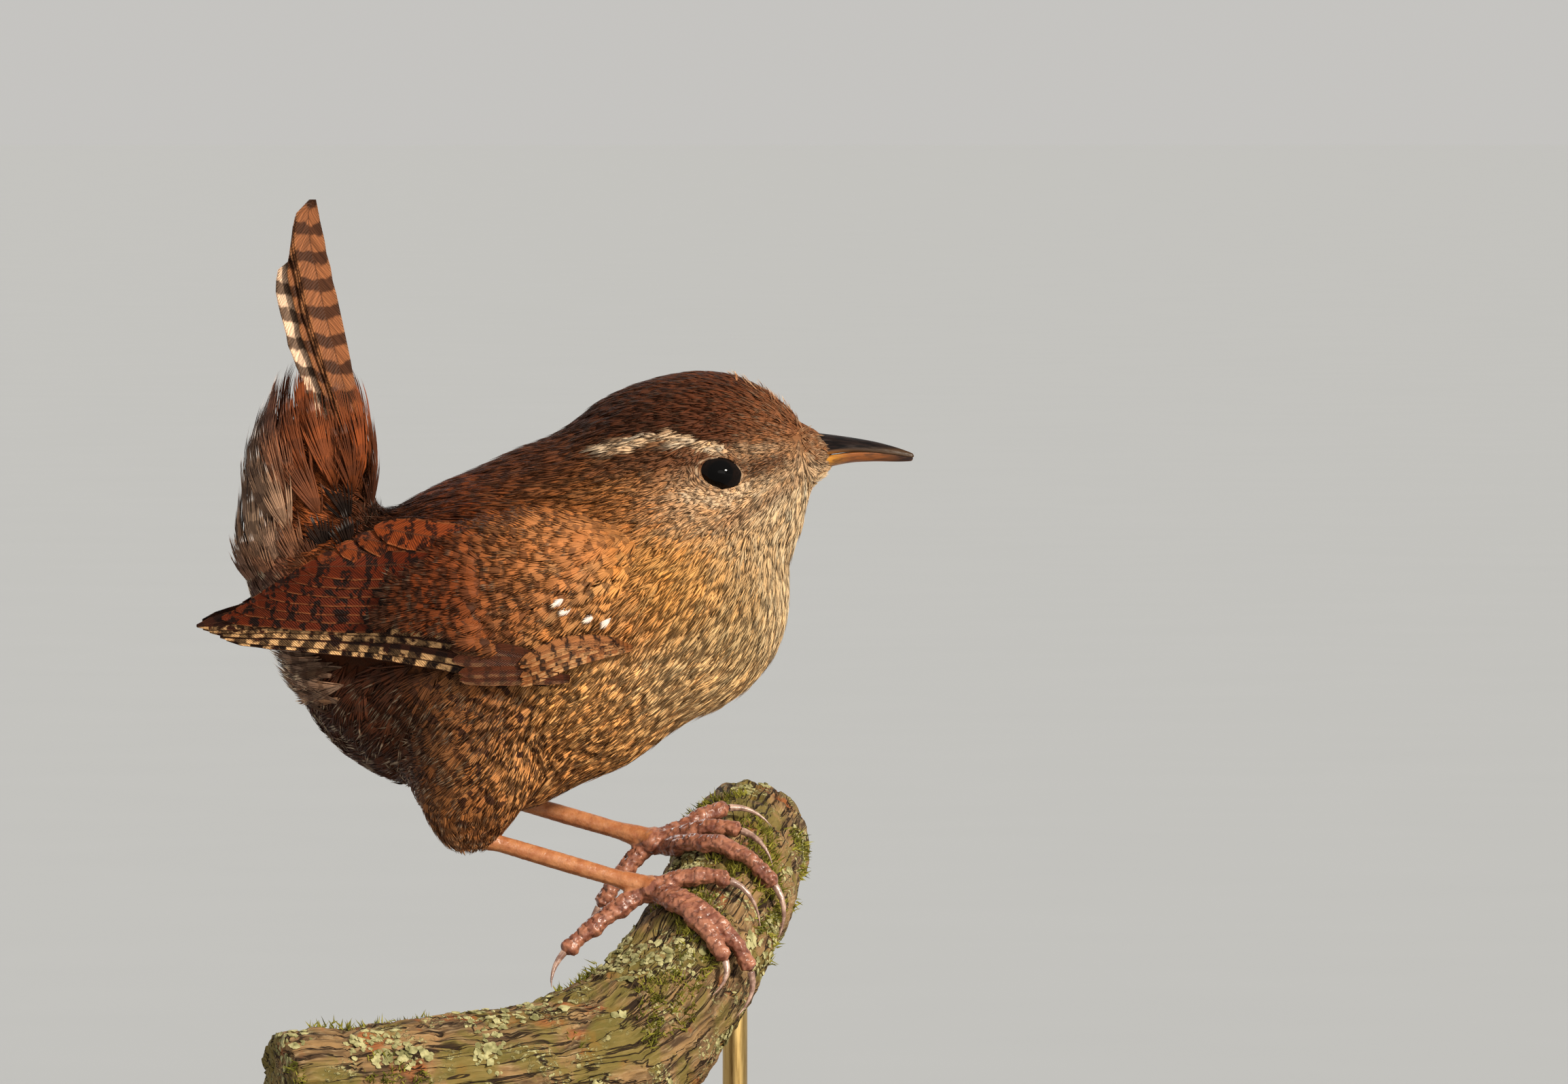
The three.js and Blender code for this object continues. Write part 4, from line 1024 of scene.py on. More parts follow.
def vane_finish(name, period, duty, dark, broken=True):
    """Flight feathers: bars across, pale squares along the outer web, fine barbs and a shaft.

    Map Vane: millimetres along from the tip, and across from -1, the outer web, to 1.
    Attribute marks: bars, pale outer web, chance."""
    finish = Finish(name, 0.42, 0.08)
    along, across, _ = finish.map_of("Vane")
    bars, pale_web, chance = finish.split(finish.attribute("marks"))[:3]
    tint = finish.attribute("tint")
    off_shaft = finish.math("ABSOLUTE", across)
    wobble = finish.noise(finish.place(), 0.8, 3)
    slant = finish.times(off_shaft, 0.16)
    turn = finish.math("ADD", finish.math("DIVIDE", along, period), slant)
    turn = finish.math("ADD", turn, finish.times(wobble, 0.5))
    wave = finish.math("FRACT", turn)
    band = finish.times(finish.step(wave, 0.04, 0.16), finish.step(wave, duty, duty + 0.14, 1.0, 0.0))
    ragged = finish.noise(finish.place(), 1.7, 4)
    # On a broken barring the bars fall apart into dashes
    if broken:
        band = finish.times(band, finish.math("MAXIMUM", finish.step(ragged, 0.42, 0.52), pale_web))
    outer = finish.times(finish.step(across, -0.97, -0.9), finish.step(across, -0.5, -0.38, 1.0, 0.0))
    cream = finish.times(outer, pale_web)
    cream = finish.times(cream, finish.step(finish.noise(finish.place(), 1.1, 3), 0.38, 0.54))
    ground = finish.mix(cream, tint, tone(218, 168, 114))
    rim = finish.times(finish.step(off_shaft, 0.84, 0.95), 0.13)
    rim = finish.times(rim, finish.math("SUBTRACT", 1.0, pale_web))
    ground = finish.mix(rim, ground, tone(206, 146, 96))
    colour = finish.mix(finish.times(band, finish.math("MAXIMUM", bars, cream)), ground, dark)
    slope = finish.math("SUBTRACT", along, finish.times(off_shaft, 3.0))
    streak_at = finish.node("ShaderNodeCombineXYZ", i0=finish.times(slope, 5.0),
                            i1=finish.times(across, 0.7), i2=finish.times(chance, 40.0)).outputs[0]
    streak = finish.noise(streak_at, 1.0, 3)
    colour = finish.shaded(colour, finish.step(streak, 0.3, 0.7, *STREAK_LIGHT))
    shaft = finish.step(off_shaft, 0.03, 0.07, 0.65, 0.0)
    finish.colour(finish.mix(shaft, colour, tone(74, 44, 28)))
    # Barbs leave the shaft at a slant
    barb = finish.math("SUBTRACT", along, finish.times(off_shaft, 1.6))
    ridge = finish.math("SINE", finish.times(barb, 2 * math.pi / 0.34))
    finish.bump(ridge, 0.035, 0.7)
    return finish.material


def outline_at(outline, t):
    places, shares = zip(*outline)
    return np.interp(t, places, shares)


def lying_vane(vanes, root, tip, width, level, bow, side, outline, tint, marks, rise):
    """A vane along the folded wing's bed, from root to tip as seen from the side.

    It lies at that level of the bed and rises to its tip, and bow is how far its middle swings up."""
    t = np.linspace(0, 1, VANE_ROWS)
    start, end = np.array([root[0], 0, root[1]]), np.array([tip[0], 0, tip[1]])
    run = end - start
    beside = unit(np.array([-run[2], 0, run[0]]))
    spine = start + run * t[:, None] + beside * (bow * np.sin(math.pi * t))[:, None]
    spine[:, 1] = side * 11.0
    centre, outward = WING_FIELD.settle(spine, level + rise * t, 6)
    forward = unit(np.gradient(centre, axis=0))
    # The outer web is the lower one
    across = unit(np.cross(outward, forward)) * side
    half = width / 2 * outline_at(outline, t)
    upper = vane_grid(centre, across, outward, half, vanes.random)
    length = float(np.linalg.norm(np.diff(centre, axis=0), axis=1).sum())
    along = length * (1 - t)
    vanes.add(upper, outward, along + marks[3], tint, np.array(marks[:3]), centre[0], side < 0)


# Each row of the folded wing: its name, how many feathers, first and last roots in side view, first and
# last tips, width, level, step from feather to feather, bow, colour, bars, pale outer web, and how far it
# rises to its tip. The primaries' pale strips differ in height, so their places in the row are given
PRIMARY_PLACES = (0, 0.2, 0.55, 0.78, 1)
WING_ROWS = [
    ("primaries", 5, ((-4, 64.4), (-9, 68.6)), ((-39.5, 67.0), (-43.2, 69.3)), 3.0, 1.0, 0.13, -0.8,
     (50, 24, 15), 0.9, 1.0, 0.0),
    ("secondaries", 7, ((-9, 68.9), (-10, 74)), ((-40, 69.9), (-30.2, 74.8)), 3.4, 1.2, 0.1, -0.15,
     (82, 29, 9), 1.0, 0.0, 0.7),
    ("tertials", 4, ((-8, 73.6), (-7.5, 76)), ((-28.6, 75.8), (-22.6, 79.4)), 4.1, -0.2, 0.1, 0.5,
     (104, 46, 18), 0.9, 0.0, 2.8),
]


def wing(side, name):
    vanes = VaneSet(SEED + 30 + side)
    random = vanes.random
    for row, count, roots, tips, width, level, step, bow, colour, bars, pale, rise in WING_ROWS:
        for i in range(count):
            share = PRIMARY_PLACES[i] if row == "primaries" else i / (count - 1)
            root = [a + (b - a) * share for a, b in zip(*roots)]
            tip = [a + (b - a) * share for a, b in zip(*tips)]
            tint = varied(linear(*colour)[None], random, 0.1)[0]
            # The bars of the primaries line up across the wing
            start = 0.5 * (i % 2) - tip[0] if row == "primaries" else random.uniform(0, 2.4)
            marks = (bars, pale * (1 - 0.35 * share), random.random(), start)
            lying_vane(vanes, root, tip, width, level + step * i, bow, side, LONG_OUTLINE, tint, marks, rise)
    material = vane_finish(f"wing_{name}_flight_feathers", 2.7, 0.56, tone(28, 13, 8))
    long_vanes = vanes.piece(f"wing_{name}_flight", material)
    dress(long_vanes, "wing_feathers", f"wing_{name}")
    wing_edge(side, name)
    shoulder_coat(side, name)


# The small stiff feathers of the wing's lower edge: each row's name, how many, first and last roots, first
# and last tips, width, level, step, bow, colour, bars and pale outer web
EDGE_ROWS = [
    ("primary_coverts", 4, ((-2, 64.6), (-5, 66.4)), ((-12.2, 64.1), (-12.6, 66.6)), 1.9, 1.25, 0.09, -0.3,
     (74, 38, 23), 0.6, 0.15),
    ("alula", 5, ((4.4, 67.2), (2.4, 67.8)), ((-6.4, 63.9), (-6.6, 66)), 1.6, 0.85, 0.1, -0.7,
     (150, 92, 52), 0.95, 0.6),
]
# White feathers on the shoulder, by the place of their tips in side view
WHITE_SPOTS = [(-4.1, 70.0), (-3.4, 69.2), (-0.9, 68.7), (0.9, 68.4)]
# The soft feathers over the wing: an ellipse in side view, and their spacing
SHOULDER_SPACING = 0.8
SHOULDER = {"x": -6.6, "z": 73.4, "long": 14, "high": 7.4, "tilt": math.radians(27)}


def wing_edge(side, name):
    vanes = VaneSet(SEED + 40 + side)
    random = vanes.random
    for _, count, roots, tips, width, level, step, bow, colour, bars, pale in EDGE_ROWS:
        for i in range(count):
            share = i / (count - 1)
            root = [a + (b - a) * share for a, b in zip(*roots)]
            tip = [a + (b - a) * share + random.uniform(-0.25, 0.25) for a, b in zip(*tips)]
            tint = varied(linear(*colour)[None], random, 0.1)[0]
            marks = (bars, pale * (1 - 0.5 * share), random.random(), random.uniform(0, 1.8))
            lying_vane(vanes, root, tip, width, level + step * i, bow, side, BROAD_OUTLINE, tint, marks, 0.8)
    material = vane_finish(f"wing_{name}_edge_feathers", 1.7, 0.45, tone(44, 28, 20))
    dress(vanes.piece(f"wing_{name}_edge", material), "wing_feathers")


def shoulder_share(x, z):
    """How far out points lie in the shoulder's ellipse: 1 on its rim."""
    c, s = math.cos(SHOULDER["tilt"]), math.sin(SHOULDER["tilt"])
    dx, dz = x - SHOULDER["x"], z - SHOULDER["z"]
    return np.hypot((dx * c + dz * s) / SHOULDER["long"], (dz * c - dx * s) / SHOULDER["high"])


def shoulder_places(random):
    """Where the shoulder's feathers root in side view, and which of them are the white ones."""
    spots = random.uniform((-24, 62), (8, 84), (20000, 2))
    x, z = spots.T
    # The wing's lower edge stays clear of them
    lowest = 66.4 + 2.6 * ramp(-x, 8, 13) - 1.2 * ramp(x, 0, 5)
    x, z = spots[(shoulder_share(x, z) < 1) & (z > lowest)].T
    flat = np.stack([x, np.zeros(len(x)), z], axis=1)
    flat = thin_out(flat, np.full(len(flat), SHOULDER_SPACING))
    white = np.array([(x + 1.9, 0, z + 1.2) for x, z in WHITE_SPOTS])
    is_white = np.arange(len(flat) + len(white)) >= len(flat)
    return np.concatenate([flat, white]), is_white


def shoulder_bed(x, z, size):
    """How high the shoulder's feathers stand: a low dome, and clear of the long feathers at its rear."""
    dome = 0.15 + 2.3 * (1 - size.clip(0, 1) ** 3)
    rear = ramp(-x, 2, 11)
    above = ramp(z - 0.5 * x, 80, 86)
    return np.maximum(dome, 2.9 * rear * (1 - above))


def shoulder_coat(side, name):
    """Scapulars and wing coverts: small soft feathers over the shoulder of the wing."""
    random = np.random.default_rng(SEED + 50 + side)
    flat, is_white = shoulder_places(random)
    size = shoulder_share(flat[:, 0], flat[:, 2])
    bed = shoulder_bed(flat[:, 0], flat[:, 2], size) + np.where(is_white, 0.3, 0)
    flat[:, 1] = side * 13
    root, out = WING_FIELD.settle(flat, bed - 0.7, 6)
    way = lie(root, out)
    low = (1 - ramp(root[:, 2], 67, 74))[:, None]
    straight = np.array([-1, 0, -0.1])
    way = unit(way * (1 - 0.7 * low) + 0.7 * low * straight)
    way = unit(way - out * dot(way, out))
    way = unit(way + np.cross(out, way) * random.normal(0, 0.1, len(root))[:, None])
    share = ramp(-root[:, 0] - 0.25 * (root[:, 2] - 70), -1, 13)[:, None]
    own = linear(170, 110, 64) * (1 - share) + linear(108, 50, 22) * share
    # Towards the rim of the patch they take the colour of the body beside them
    alike = 0.2 + 0.8 * ramp(size, 0.55, 0.98)[:, None]
    tint = varied(plumage(root)[0] * alike + (1 - alike) * own, random, 0.1)
    tint[is_white] = linear(224, 204, 192)
    count = len(root)
    length = np.where(is_white, 1.9, random.uniform(3.0, 4.0, count))
    width = np.where(is_white, 0.9, 2.1)
    bars = np.where(is_white, 0, random.uniform(0.1, 0.75, count) + 0.25 * share[:, 0])
    frost = np.where(is_white, 1, random.uniform(0, 0.3, count))
    marks = np.stack([bars, frost, random.random(count)], axis=1)
    fans = fan_feathers(WING_FIELD, root, way, length, width, bed - 0.8, bed + 0.15, 11, LONG_BARB,
                        SEED + 60 + side, 0.1, barb_share=1.4, rounded=0.3)
    material = coat_finish(f"shoulder_{name}_feathers", 1.7)
    for piece in coat_pieces(f"coat_shoulder_{name}", fans, root, tint, marks, material):
        dress(piece, "wing_feathers")


# How steeply each half of the folded tail slopes, in degrees, half a feather's width, and how much shorter
# and further back each pair of feathers is, from the middle pair out
TAIL_ROOF = 52
TAIL_HALF_WIDTH = 2.2
TAIL_SHORTER = (0, 0.4, 1.4, 4.2, 6.4)
TAIL_BACK = (0, 0.05, 0.1, 0.3, 1.4)
TAIL_OUTLINE = ((0, 0.42), (0.25, 0.7), (0.6, 1), (0.85, 0.96), (0.95, 0.7), (1, 0.2))


def tail():
    """Five pairs of feathers, folded as a steep roof with the middle pair on top."""
    vanes = VaneSet(SEED + 70)
    random = vanes.random
    t = np.linspace(0, 1, VANE_ROWS)
    roof = math.radians(TAIL_ROOF)
    half = TAIL_HALF_WIDTH * outline_at(TAIL_OUTLINE, t)
    for pair in range(len(TAIL_SHORTER)):
        for side in (-1, 1):
            root = np.array([-23.2 - 1.2 * TAIL_BACK[pair], 0, 83.6])
            tip = np.array([-29.8 - TAIL_BACK[pair], 0, 114.6 - TAIL_SHORTER[pair]])
            across = np.array([-math.sin(roof), side * math.cos(roof), 0])
            outward = unit(np.array([math.cos(roof), side * math.sin(roof), 0.12]))
            beside = half - 0.45 + 0.1 * pair * t
            centre = root + (tip - root) * t[:, None] + across * beside[:, None]
            centre = centre + outward * (0.45 - 0.1 * pair + 0.1 * np.sin(math.pi * t))[:, None]
            outward = np.tile(outward, (len(t), 1))
            upper = vane_grid(centre, np.tile(-across, (len(t), 1)), outward, half, random, 0.06, 0.06)
            outer = pair == len(TAIL_SHORTER) - 1
            colour = (206, 176, 152) if outer else (124, 76, 47)
            tint = varied(linear(*colour)[None], random, 0.06)[0]
            marks = np.array([0.85, 0.0, random.random()])
            along = np.linalg.norm(tip - root) * (1 - t) + random.uniform(-0.3, 0.3)
            vanes.add(upper, outward, along, tint, marks, centre[0], side > 0)
    material = vane_finish("tail_vane_feathers", 3.1, 0.48, tone(46, 27, 19), broken=False)
    dress(vanes.piece("tail_vanes", material), "tail_feathers", "tail")


# Eyes and lids

# Turns a primitive's pole to the bird's side
FACING_SIDE = (math.pi / 2, 0, 0)
# The eyeball's half sizes, and how far ball and lid lean: down by this share towards the bill
EYE_BALL = np.array([2.95, 2.35, 2.28])
EYE_LEAN = 0.12
# The lid's half thickness before it is stretched to the opening
LID_THICK = 0.085


def eye_finish():
    finish = Finish("eye_ball", 0.05, 0.1)
    place = finish.place()
    row = finish.node("ShaderNodeSeparateXYZ", i0=place).outputs
    off = finish.node("ShaderNodeVectorMath", {"operation": "DISTANCE"},
                      i0=finish.node("ShaderNodeCombineXYZ", i0=row[0], i1=0.0, i2=row[2]).outputs[0],
                      i1=(EYE[0] + 0.2, 0, EYE[2])).outputs["Value"]
    iris = finish.step(off, 1.25, 1.5)
    fleck = finish.noise(place, 2.5, 3)
    brown = finish.blend(fleck, 0.3, 0.7, tone(13, 8, 6), tone(22, 13, 9))
    finish.colour(finish.mix(iris, tone(6, 5, 5), brown))
    return finish.material


def lid_finish():
    finish = Finish("eye_lid", 0.6, 0.3)
    place = finish.place()
    mottle = finish.noise(place, 2.2, 3)
    finish.colour(finish.blend(mottle, 0.35, 0.65, tone(74, 52, 40), tone(168, 136, 104)))
    finish.bump(finish.noise(place, 6, 3), 0.08, 0.7)
    return finish.material


def make_eye(side, name, ball, rim):
    piece = primitive(f"eye_ball_{name}", bpy.ops.mesh.primitive_uv_sphere_add, segments=64, ring_count=40,
                      radius=MM, rotation=FACING_SIDE)
    rows = points_of(piece)
    # The ball bulges a little more in the middle, as a cornea does
    bulge = 1 + 0.1 * np.exp(-((rows[:, 0] ** 2 + rows[:, 2] ** 2) / 0.3))
    rows = rows * EYE_BALL * np.stack([np.ones(len(rows)), bulge, np.ones(len(rows))], axis=1)
    rows[:, 2] -= EYE_LEAN * rows[:, 0]
    rows = rows + EYE * (1, side, 1) + np.array([0, 0.25 * side, 0])
    set_points(piece, rows)
    shade_smooth(piece)
    piece.data.materials.append(ball)
    dress(piece, "eye", f"eye_{name}")
    lid = primitive(f"eye_lid_{name}", bpy.ops.mesh.primitive_torus_add, major_segments=72,
                    minor_segments=12, major_radius=MM, minor_radius=LID_THICK * MM, rotation=FACING_SIDE)
    rows = points_of(lid)
    angle = np.arctan2(rows[:, 2], rows[:, 0])
    pinch = 1 + 0.07 * np.cos(2 * angle)
    rows[:, 0] *= EYE_OPENING[0] * pinch
    rows[:, 2] *= EYE_OPENING[1] * pinch
    rows[:, 1] *= 1.5
    rows[:, 2] -= EYE_LEAN * rows[:, 0]
    rows[:, 1] += 0.03 * np.sin(9 * angle)
    # The rim follows the head round
    middle = rows + EYE * (1, side, 1)
    lying, _ = BODY_FIELD.settle(middle + np.array([0, 2.0 * side, 0]), np.full(len(rows), -0.42), 4)
    set_points(lid, np.stack([middle[:, 0], lying[:, 1] + rows[:, 1], middle[:, 2]], axis=1))
    shade_smooth(lid)
    lid.data.materials.append(rim)
    return dress(lid, "plumage")


# Bill

# Stations of each half: place along the bird, top, bottom and half width
UPPER_BILL = [
    (20.5, 89.6, 85.6, 2.2), (24.4, 89.5, 86.1, 1.95), (26.5, 89.2, 87.0, 1.7), (29.2, 88.8, 87.3, 1.3),
    (31.9, 88.3, 87.2, 0.95), (34.4, 87.6, 86.9, 0.5), (36.0, 86.95, 86.65, 0.15)]
LOWER_BILL = [
    (20.5, 85.2, 83.4, 2.2), (24.0, 85.7, 84.3, 1.9), (26.5, 86.4, 85.4, 1.55), (29.2, 86.8, 85.95, 1.15),
    (31.9, 86.85, 86.05, 0.8), (34.4, 86.5, 86.0, 0.42), (35.9, 86.3, 86.1, 0.12)]
# A section of the sheath, from the flat mouth side up: shares of half width and height
BILL_PROFILE = (
    (-1, 0), (-1.0, 0.22), (-0.86, 0.55), (-0.5, 0.86), (0, 1), (0.5, 0.86), (0.86, 0.55), (1.0, 0.22),
    (1, 0), (0, 0.1))


def bill_form(name, stations, up, material, slot_name, node):
    """A horn sheath extruded from ring to ring along its stations, then smoothed."""
    places = np.array(stations)
    # The two halves close on a fine line
    places[:, 2 if up else 1] += -0.2 if up else 0.42
    t = np.linspace(places[0, 0], places[-1, 0], 26)
    smooth = np.stack([t, *[np.interp(t, places[:, 0], places[:, k]) for k in (1, 2, 3)]], axis=1)
    for _ in range(2):
        smooth[1:-1, 1:] = (smooth[:-2, 1:] + 2 * smooth[1:-1, 1:] + smooth[2:, 1:]) / 4
    shape = bmesh.new()
    before = None
    for x, top, bottom, half in smooth:
        flat, sign = (bottom, 1) if up else (top, -1)
        tall = sign * (top - bottom)
        ring = [shape.verts.new(Vector((x, a * half, flat + tall * s)) * MM) for a, s in BILL_PROFILE]
        if before:
            for i in range(len(ring)):
                j = (i + 1) % len(ring)
                shape.faces.new((before[i], before[j], ring[j], ring[i]))
        else:
            shape.faces.new(ring)
        before = ring
    shape.faces.new(before[::-1])
    bmesh.ops.recalc_face_normals(shape, faces=shape.faces)
    piece = from_shape(name, shape)
    soft = piece.modifiers.new("Soft", "SUBSURF")
    soft.levels = soft.render_levels = 2
    apply_all(piece)
    rows = points_of(piece)
    if up:
        # Nostril slits
        for side in (-1, 1):
            near = np.exp(-((rows[:, 0] - 26.4) / 0.9) ** 2 - ((rows[:, 2] - 88.0) / 0.3) ** 2)
            rows[:, 1] -= side * 0.45 * near * (rows[:, 1] * side > 0.4)
    set_points(piece, rows)
    shade_smooth(piece)
    piece.data.materials.append(material)
    return dress(piece, slot_name, node)


def bill_finish(name, upper):
    finish = Finish(name, 0.26, 0.18 if upper else 0.3)
    place = finish.place()
    row = finish.node("ShaderNodeSeparateXYZ", i0=place).outputs
    streak = finish.noise(finish.place((0.35, 2, 2)), 1.6, 4)
    if upper:
        dark = finish.blend(streak, 0.35, 0.7, tone(12, 8, 8), tone(34, 22, 18))
        # The cutting edge is horn-coloured, and it rises towards the tip
        height = finish.math("SUBTRACT", row[2], finish.step(row[0], 22, 30, 86.3, 87.25))
        edge = finish.step(height, 0.0, 0.55, 1.0, 0.0)
        edge = finish.times(edge, finish.step(row[0], 25, 30, 0.9, 0.15))
        horn = finish.blend(row[0], 24, 31, tone(186, 112, 40), tone(146, 104, 62))
        finish.colour(finish.mix(edge, dark, horn))
    else:
        horn = finish.blend(row[0], 24.5, 29.5, tone(236, 166, 58), tone(146, 86, 44))
        horn = finish.blend(row[0], 31.5, 35, horn, tone(42, 28, 24))
        horn = finish.blend(streak, 0.4, 0.75, horn, tone(90, 56, 34))
        finish.colour(horn)
    finish.bump(streak, 0.08, 0.5)
    finish.rough(finish.step(streak, 0.3, 0.8, 0.22, 0.42))
    return finish.material


# Legs and claws

def segment_place(p, start, end):
    axis = np.array(end, float) - np.array(start, float)
    size = np.linalg.norm(axis)
    share = np.clip((p - start) @ axis / size**2, 0, 1)
    away = np.linalg.norm(p - start - share[:, None] * axis, axis=1)
    return share * size, away


def leg_finish():
    finish = Finish("leg_scales", 0.3, 0.4)
    place = finish.place()
    mottle = finish.noise(place, 0.9, 4)
    fine = finish.noise(place, 4.5, 3)
    toe = finish.split(finish.attribute("scute"))
    shank = finish.blend(mottle, 0.35, 0.65, tone(164, 100, 62), tone(184, 122, 80))
    foot = finish.blend(mottle, 0.35, 0.65, tone(122, 72, 56), tone(168, 110, 84))
    colour = finish.mix(toe[1], shank, foot)
    colour = finish.mix(toe[0], tone(74, 40, 28), colour)
    colour = finish.mix(finish.step(fine, 0.55, 0.8, 0.0, 0.2), colour, tone(216, 170, 136))
    finish.colour(colour)
    finish.rough(finish.step(fine, 0.3, 0.7, 0.2, 0.36))
    finish.bump(fine, 0.06, 0.6)
    return finish.material


def make_leg(name, material):
    heel, palm, toes = FEET[name]
    leg = copy_of(f"leg_{name}", f"tarsus_{name}", f"foot_{name}")
    swell = leg.modifiers.new("Swell", "DISPLACE")
    swell.strength = 0.2 * MM
    swell.mid_level = 0
    remesh(leg, 0.16)
    smooth_form(leg, 0.5, 8)
    rows = points_of(leg)
    normals = normals_of(leg)
    parts = [segment_place(rows, heel, palm)] + [segment_place(rows, palm, end) for end in toes]
    away = np.stack([part[1] for part in parts])
    along = np.stack([part[0] for part in parts])
    nearest = away.argmin(0)
    place = along[nearest, np.arange(len(rows))]
    on_toe = (nearest > 0).astype(float)
    pitch = np.where(on_toe > 0, 1.05, 1.7)
    rough = np.array([noise.noise(Vector(row) * 2.2) for row in rows])
    turn = (place / pitch + 0.35 * rough) % 1.0
    # Each scute rises along its length and drops at its edge, on the upper side of the leg
    top = ramp(normals[:, 2] + 0.35 * normals[:, 0], -0.35, 0.4)
    groove = 1 - np.exp(-((turn - 0.06) / 0.09) ** 2)
    depth = np.where(on_toe > 0, 1.0, 0.22)
    height = depth * (0.06 * turn * top - 0.09 * (1 - groove) * (0.3 + 0.7 * top))
    # Pads under the toes
    pads = on_toe * 0.22 * np.sin(place * 2 * math.pi / 3.4).clip(0, 1) * (1 - top)
    rows = rows + normals * (height + pads + 0.11 * rough * on_toe + 0.03 * rough - 0.1)[:, None]
    set_points(leg, rows)
    paint_points(leg, "scute", np.stack([1 - 0.8 * depth * (1 - groove), on_toe, on_toe], axis=1))
    shade_smooth(leg)
    leg.data.materials.append(material)
    return dress(leg, "leg", f"tarsus_{name}", f"foot_{name}")


def claw_finish():
    finish = Finish("claw_horn", 0.28, 0.5)
    place = finish.place()
    mottle = finish.noise(place, 1.3, 4)
    colour = finish.blend(mottle, 0.3, 0.7, tone(120, 88, 76), tone(190, 156, 138))
    finish.colour(colour)
    finish.bump(finish.noise(place, 5, 3), 0.04, 0.5)
    return finish.material


def make_claws(material):
    for name in FEET:
        for number in range(1, 5):
            claw = copy_of(f"claw_horn_{name}_{number}", f"claw_{name}_{number}")
            remesh(claw, 0.09)
            smooth_form(claw, 0.5, 6)
            shade_smooth(claw)
            claw.data.materials.append(material)
            dress(claw, "claw", f"claw_{name}_{number}")


# Branch

PERCH_LINE = np.array([
    (-32, -34.5, 18.6), (-23, -31.5, 19), (-14, -27.5, 19.4), (-6, -22.8, 20), (1, -17.6, 21.2),
    (6, -13, 24.2), (9.7, -9.3, 28.2), (12.2, -5.4, 32.2), (14.2, 0.4, 35.5), (15.6, 7, 38.2),
    (16.7, 15, 40.6), (17.5, 23, 42.6), (17.8, 27, 43.5)])


def along_branch(rows):
    """Points as they would lie on a straight branch: along it, above its middle line and beside it."""
    best = np.full(len(rows), 1e9)
    place = np.zeros((len(rows), 3))
    passed = 0.0
    for start, end in zip(PERCH_LINE, PERCH_LINE[1:]):
        step = end - start
        size = np.linalg.norm(step)
        share = np.clip((rows - start) @ step / size**2, 0, 1)
        off = rows - start - share[:, None] * step
        away = np.linalg.norm(off, axis=1)
        forward = step / size
        up = unit(np.array([0, 0, 1.0]) - forward * forward[2])
        own = np.stack([passed + share * size, off @ up, off @ np.cross(forward, up)], axis=1)
        place = np.where((away < best)[:, None], own, place)
        best = np.minimum(best, away)
        passed += size
    return place


def bark_finish():
    """Weathered bark that runs along the branch, with cracks, a green film and crusts of lichen."""
    finish = Finish("mossy_bark", 0.85, 0.15)
    place = finish.place()
    grain_at = finish.node("ShaderNodeVectorMath", {"operation": "MULTIPLY"}, i0=finish.attribute("grain"),
                           i1=(0.16, 1.0, 1.0)).outputs[0]
    grain = finish.noise(grain_at, 1.0, 5, 0.5)
    thread = finish.noise(grain_at, 3.2, 3, 0.3)
    broad = finish.noise(place, 0.13, 4, 0.8)
    fine = finish.noise(place, 2.2, 5)
    bark = finish.blend(grain, 0.34, 0.62, tone(72, 54, 38), tone(146, 114, 76))
    bark = finish.mix(finish.step(thread, 0.5, 0.72, 0.0, 0.5), bark, tone(186, 158, 120))
    red = finish.step(finish.noise(place, 0.24, 3), 0.56, 0.68, 0.0, 0.75)
    bark = finish.mix(red, bark, tone(150, 84, 44))
    film = finish.step(broad, 0.48, 0.6, 0.0, 0.7)
    bark = finish.mix(film, bark, tone(108, 98, 44))
    crust = finish.times(finish.step(fine, 0.52, 0.58), finish.step(finish.noise(place, 0.2, 3), 0.5, 0.6))
    colour = finish.mix(crust, bark, tone(168, 160, 112))
    crack_at = finish.node("ShaderNodeVectorMath", {"operation": "MULTIPLY"}, i0=finish.attribute("grain"),
                           i1=(0.1, 0.75, 0.75)).outputs[0]
    crack = finish.math("ABSOLUTE", finish.math("SUBTRACT", finish.noise(crack_at, 0.9, 4, 0.7), 0.5))
    open_crack = finish.step(crack, 0.004, 0.028, 1.0, 0.0)
    colour = finish.mix(open_crack, colour, tone(46, 33, 23))
    finish.colour(colour)
    finish.bump(grain, 0.6, 0.8)
    finish.bump(thread, 0.2, 0.7)
    finish.bump(finish.math("SUBTRACT", crust, open_crack), 0.35, 0.8)
    return finish.material


def growth_finish(name, low, high):
    finish = Finish(name, 0.9, 0.1)
    mottle = finish.noise(finish.place(), 0.8, 4)
    finish.colour(finish.blend(mottle, 0.35, 0.65, tone(*low), tone(*high)))
    finish.bump(finish.noise(finish.place(), 4.0, 3), 0.1, 0.7)
    return finish.material


def patchy(spots, scale, limit, shift):
    """Which spots lie where a growth has settled."""
    return np.array([noise.noise(Vector(spot) * scale + Vector((shift, 0, 0))) for spot in spots]) > limit


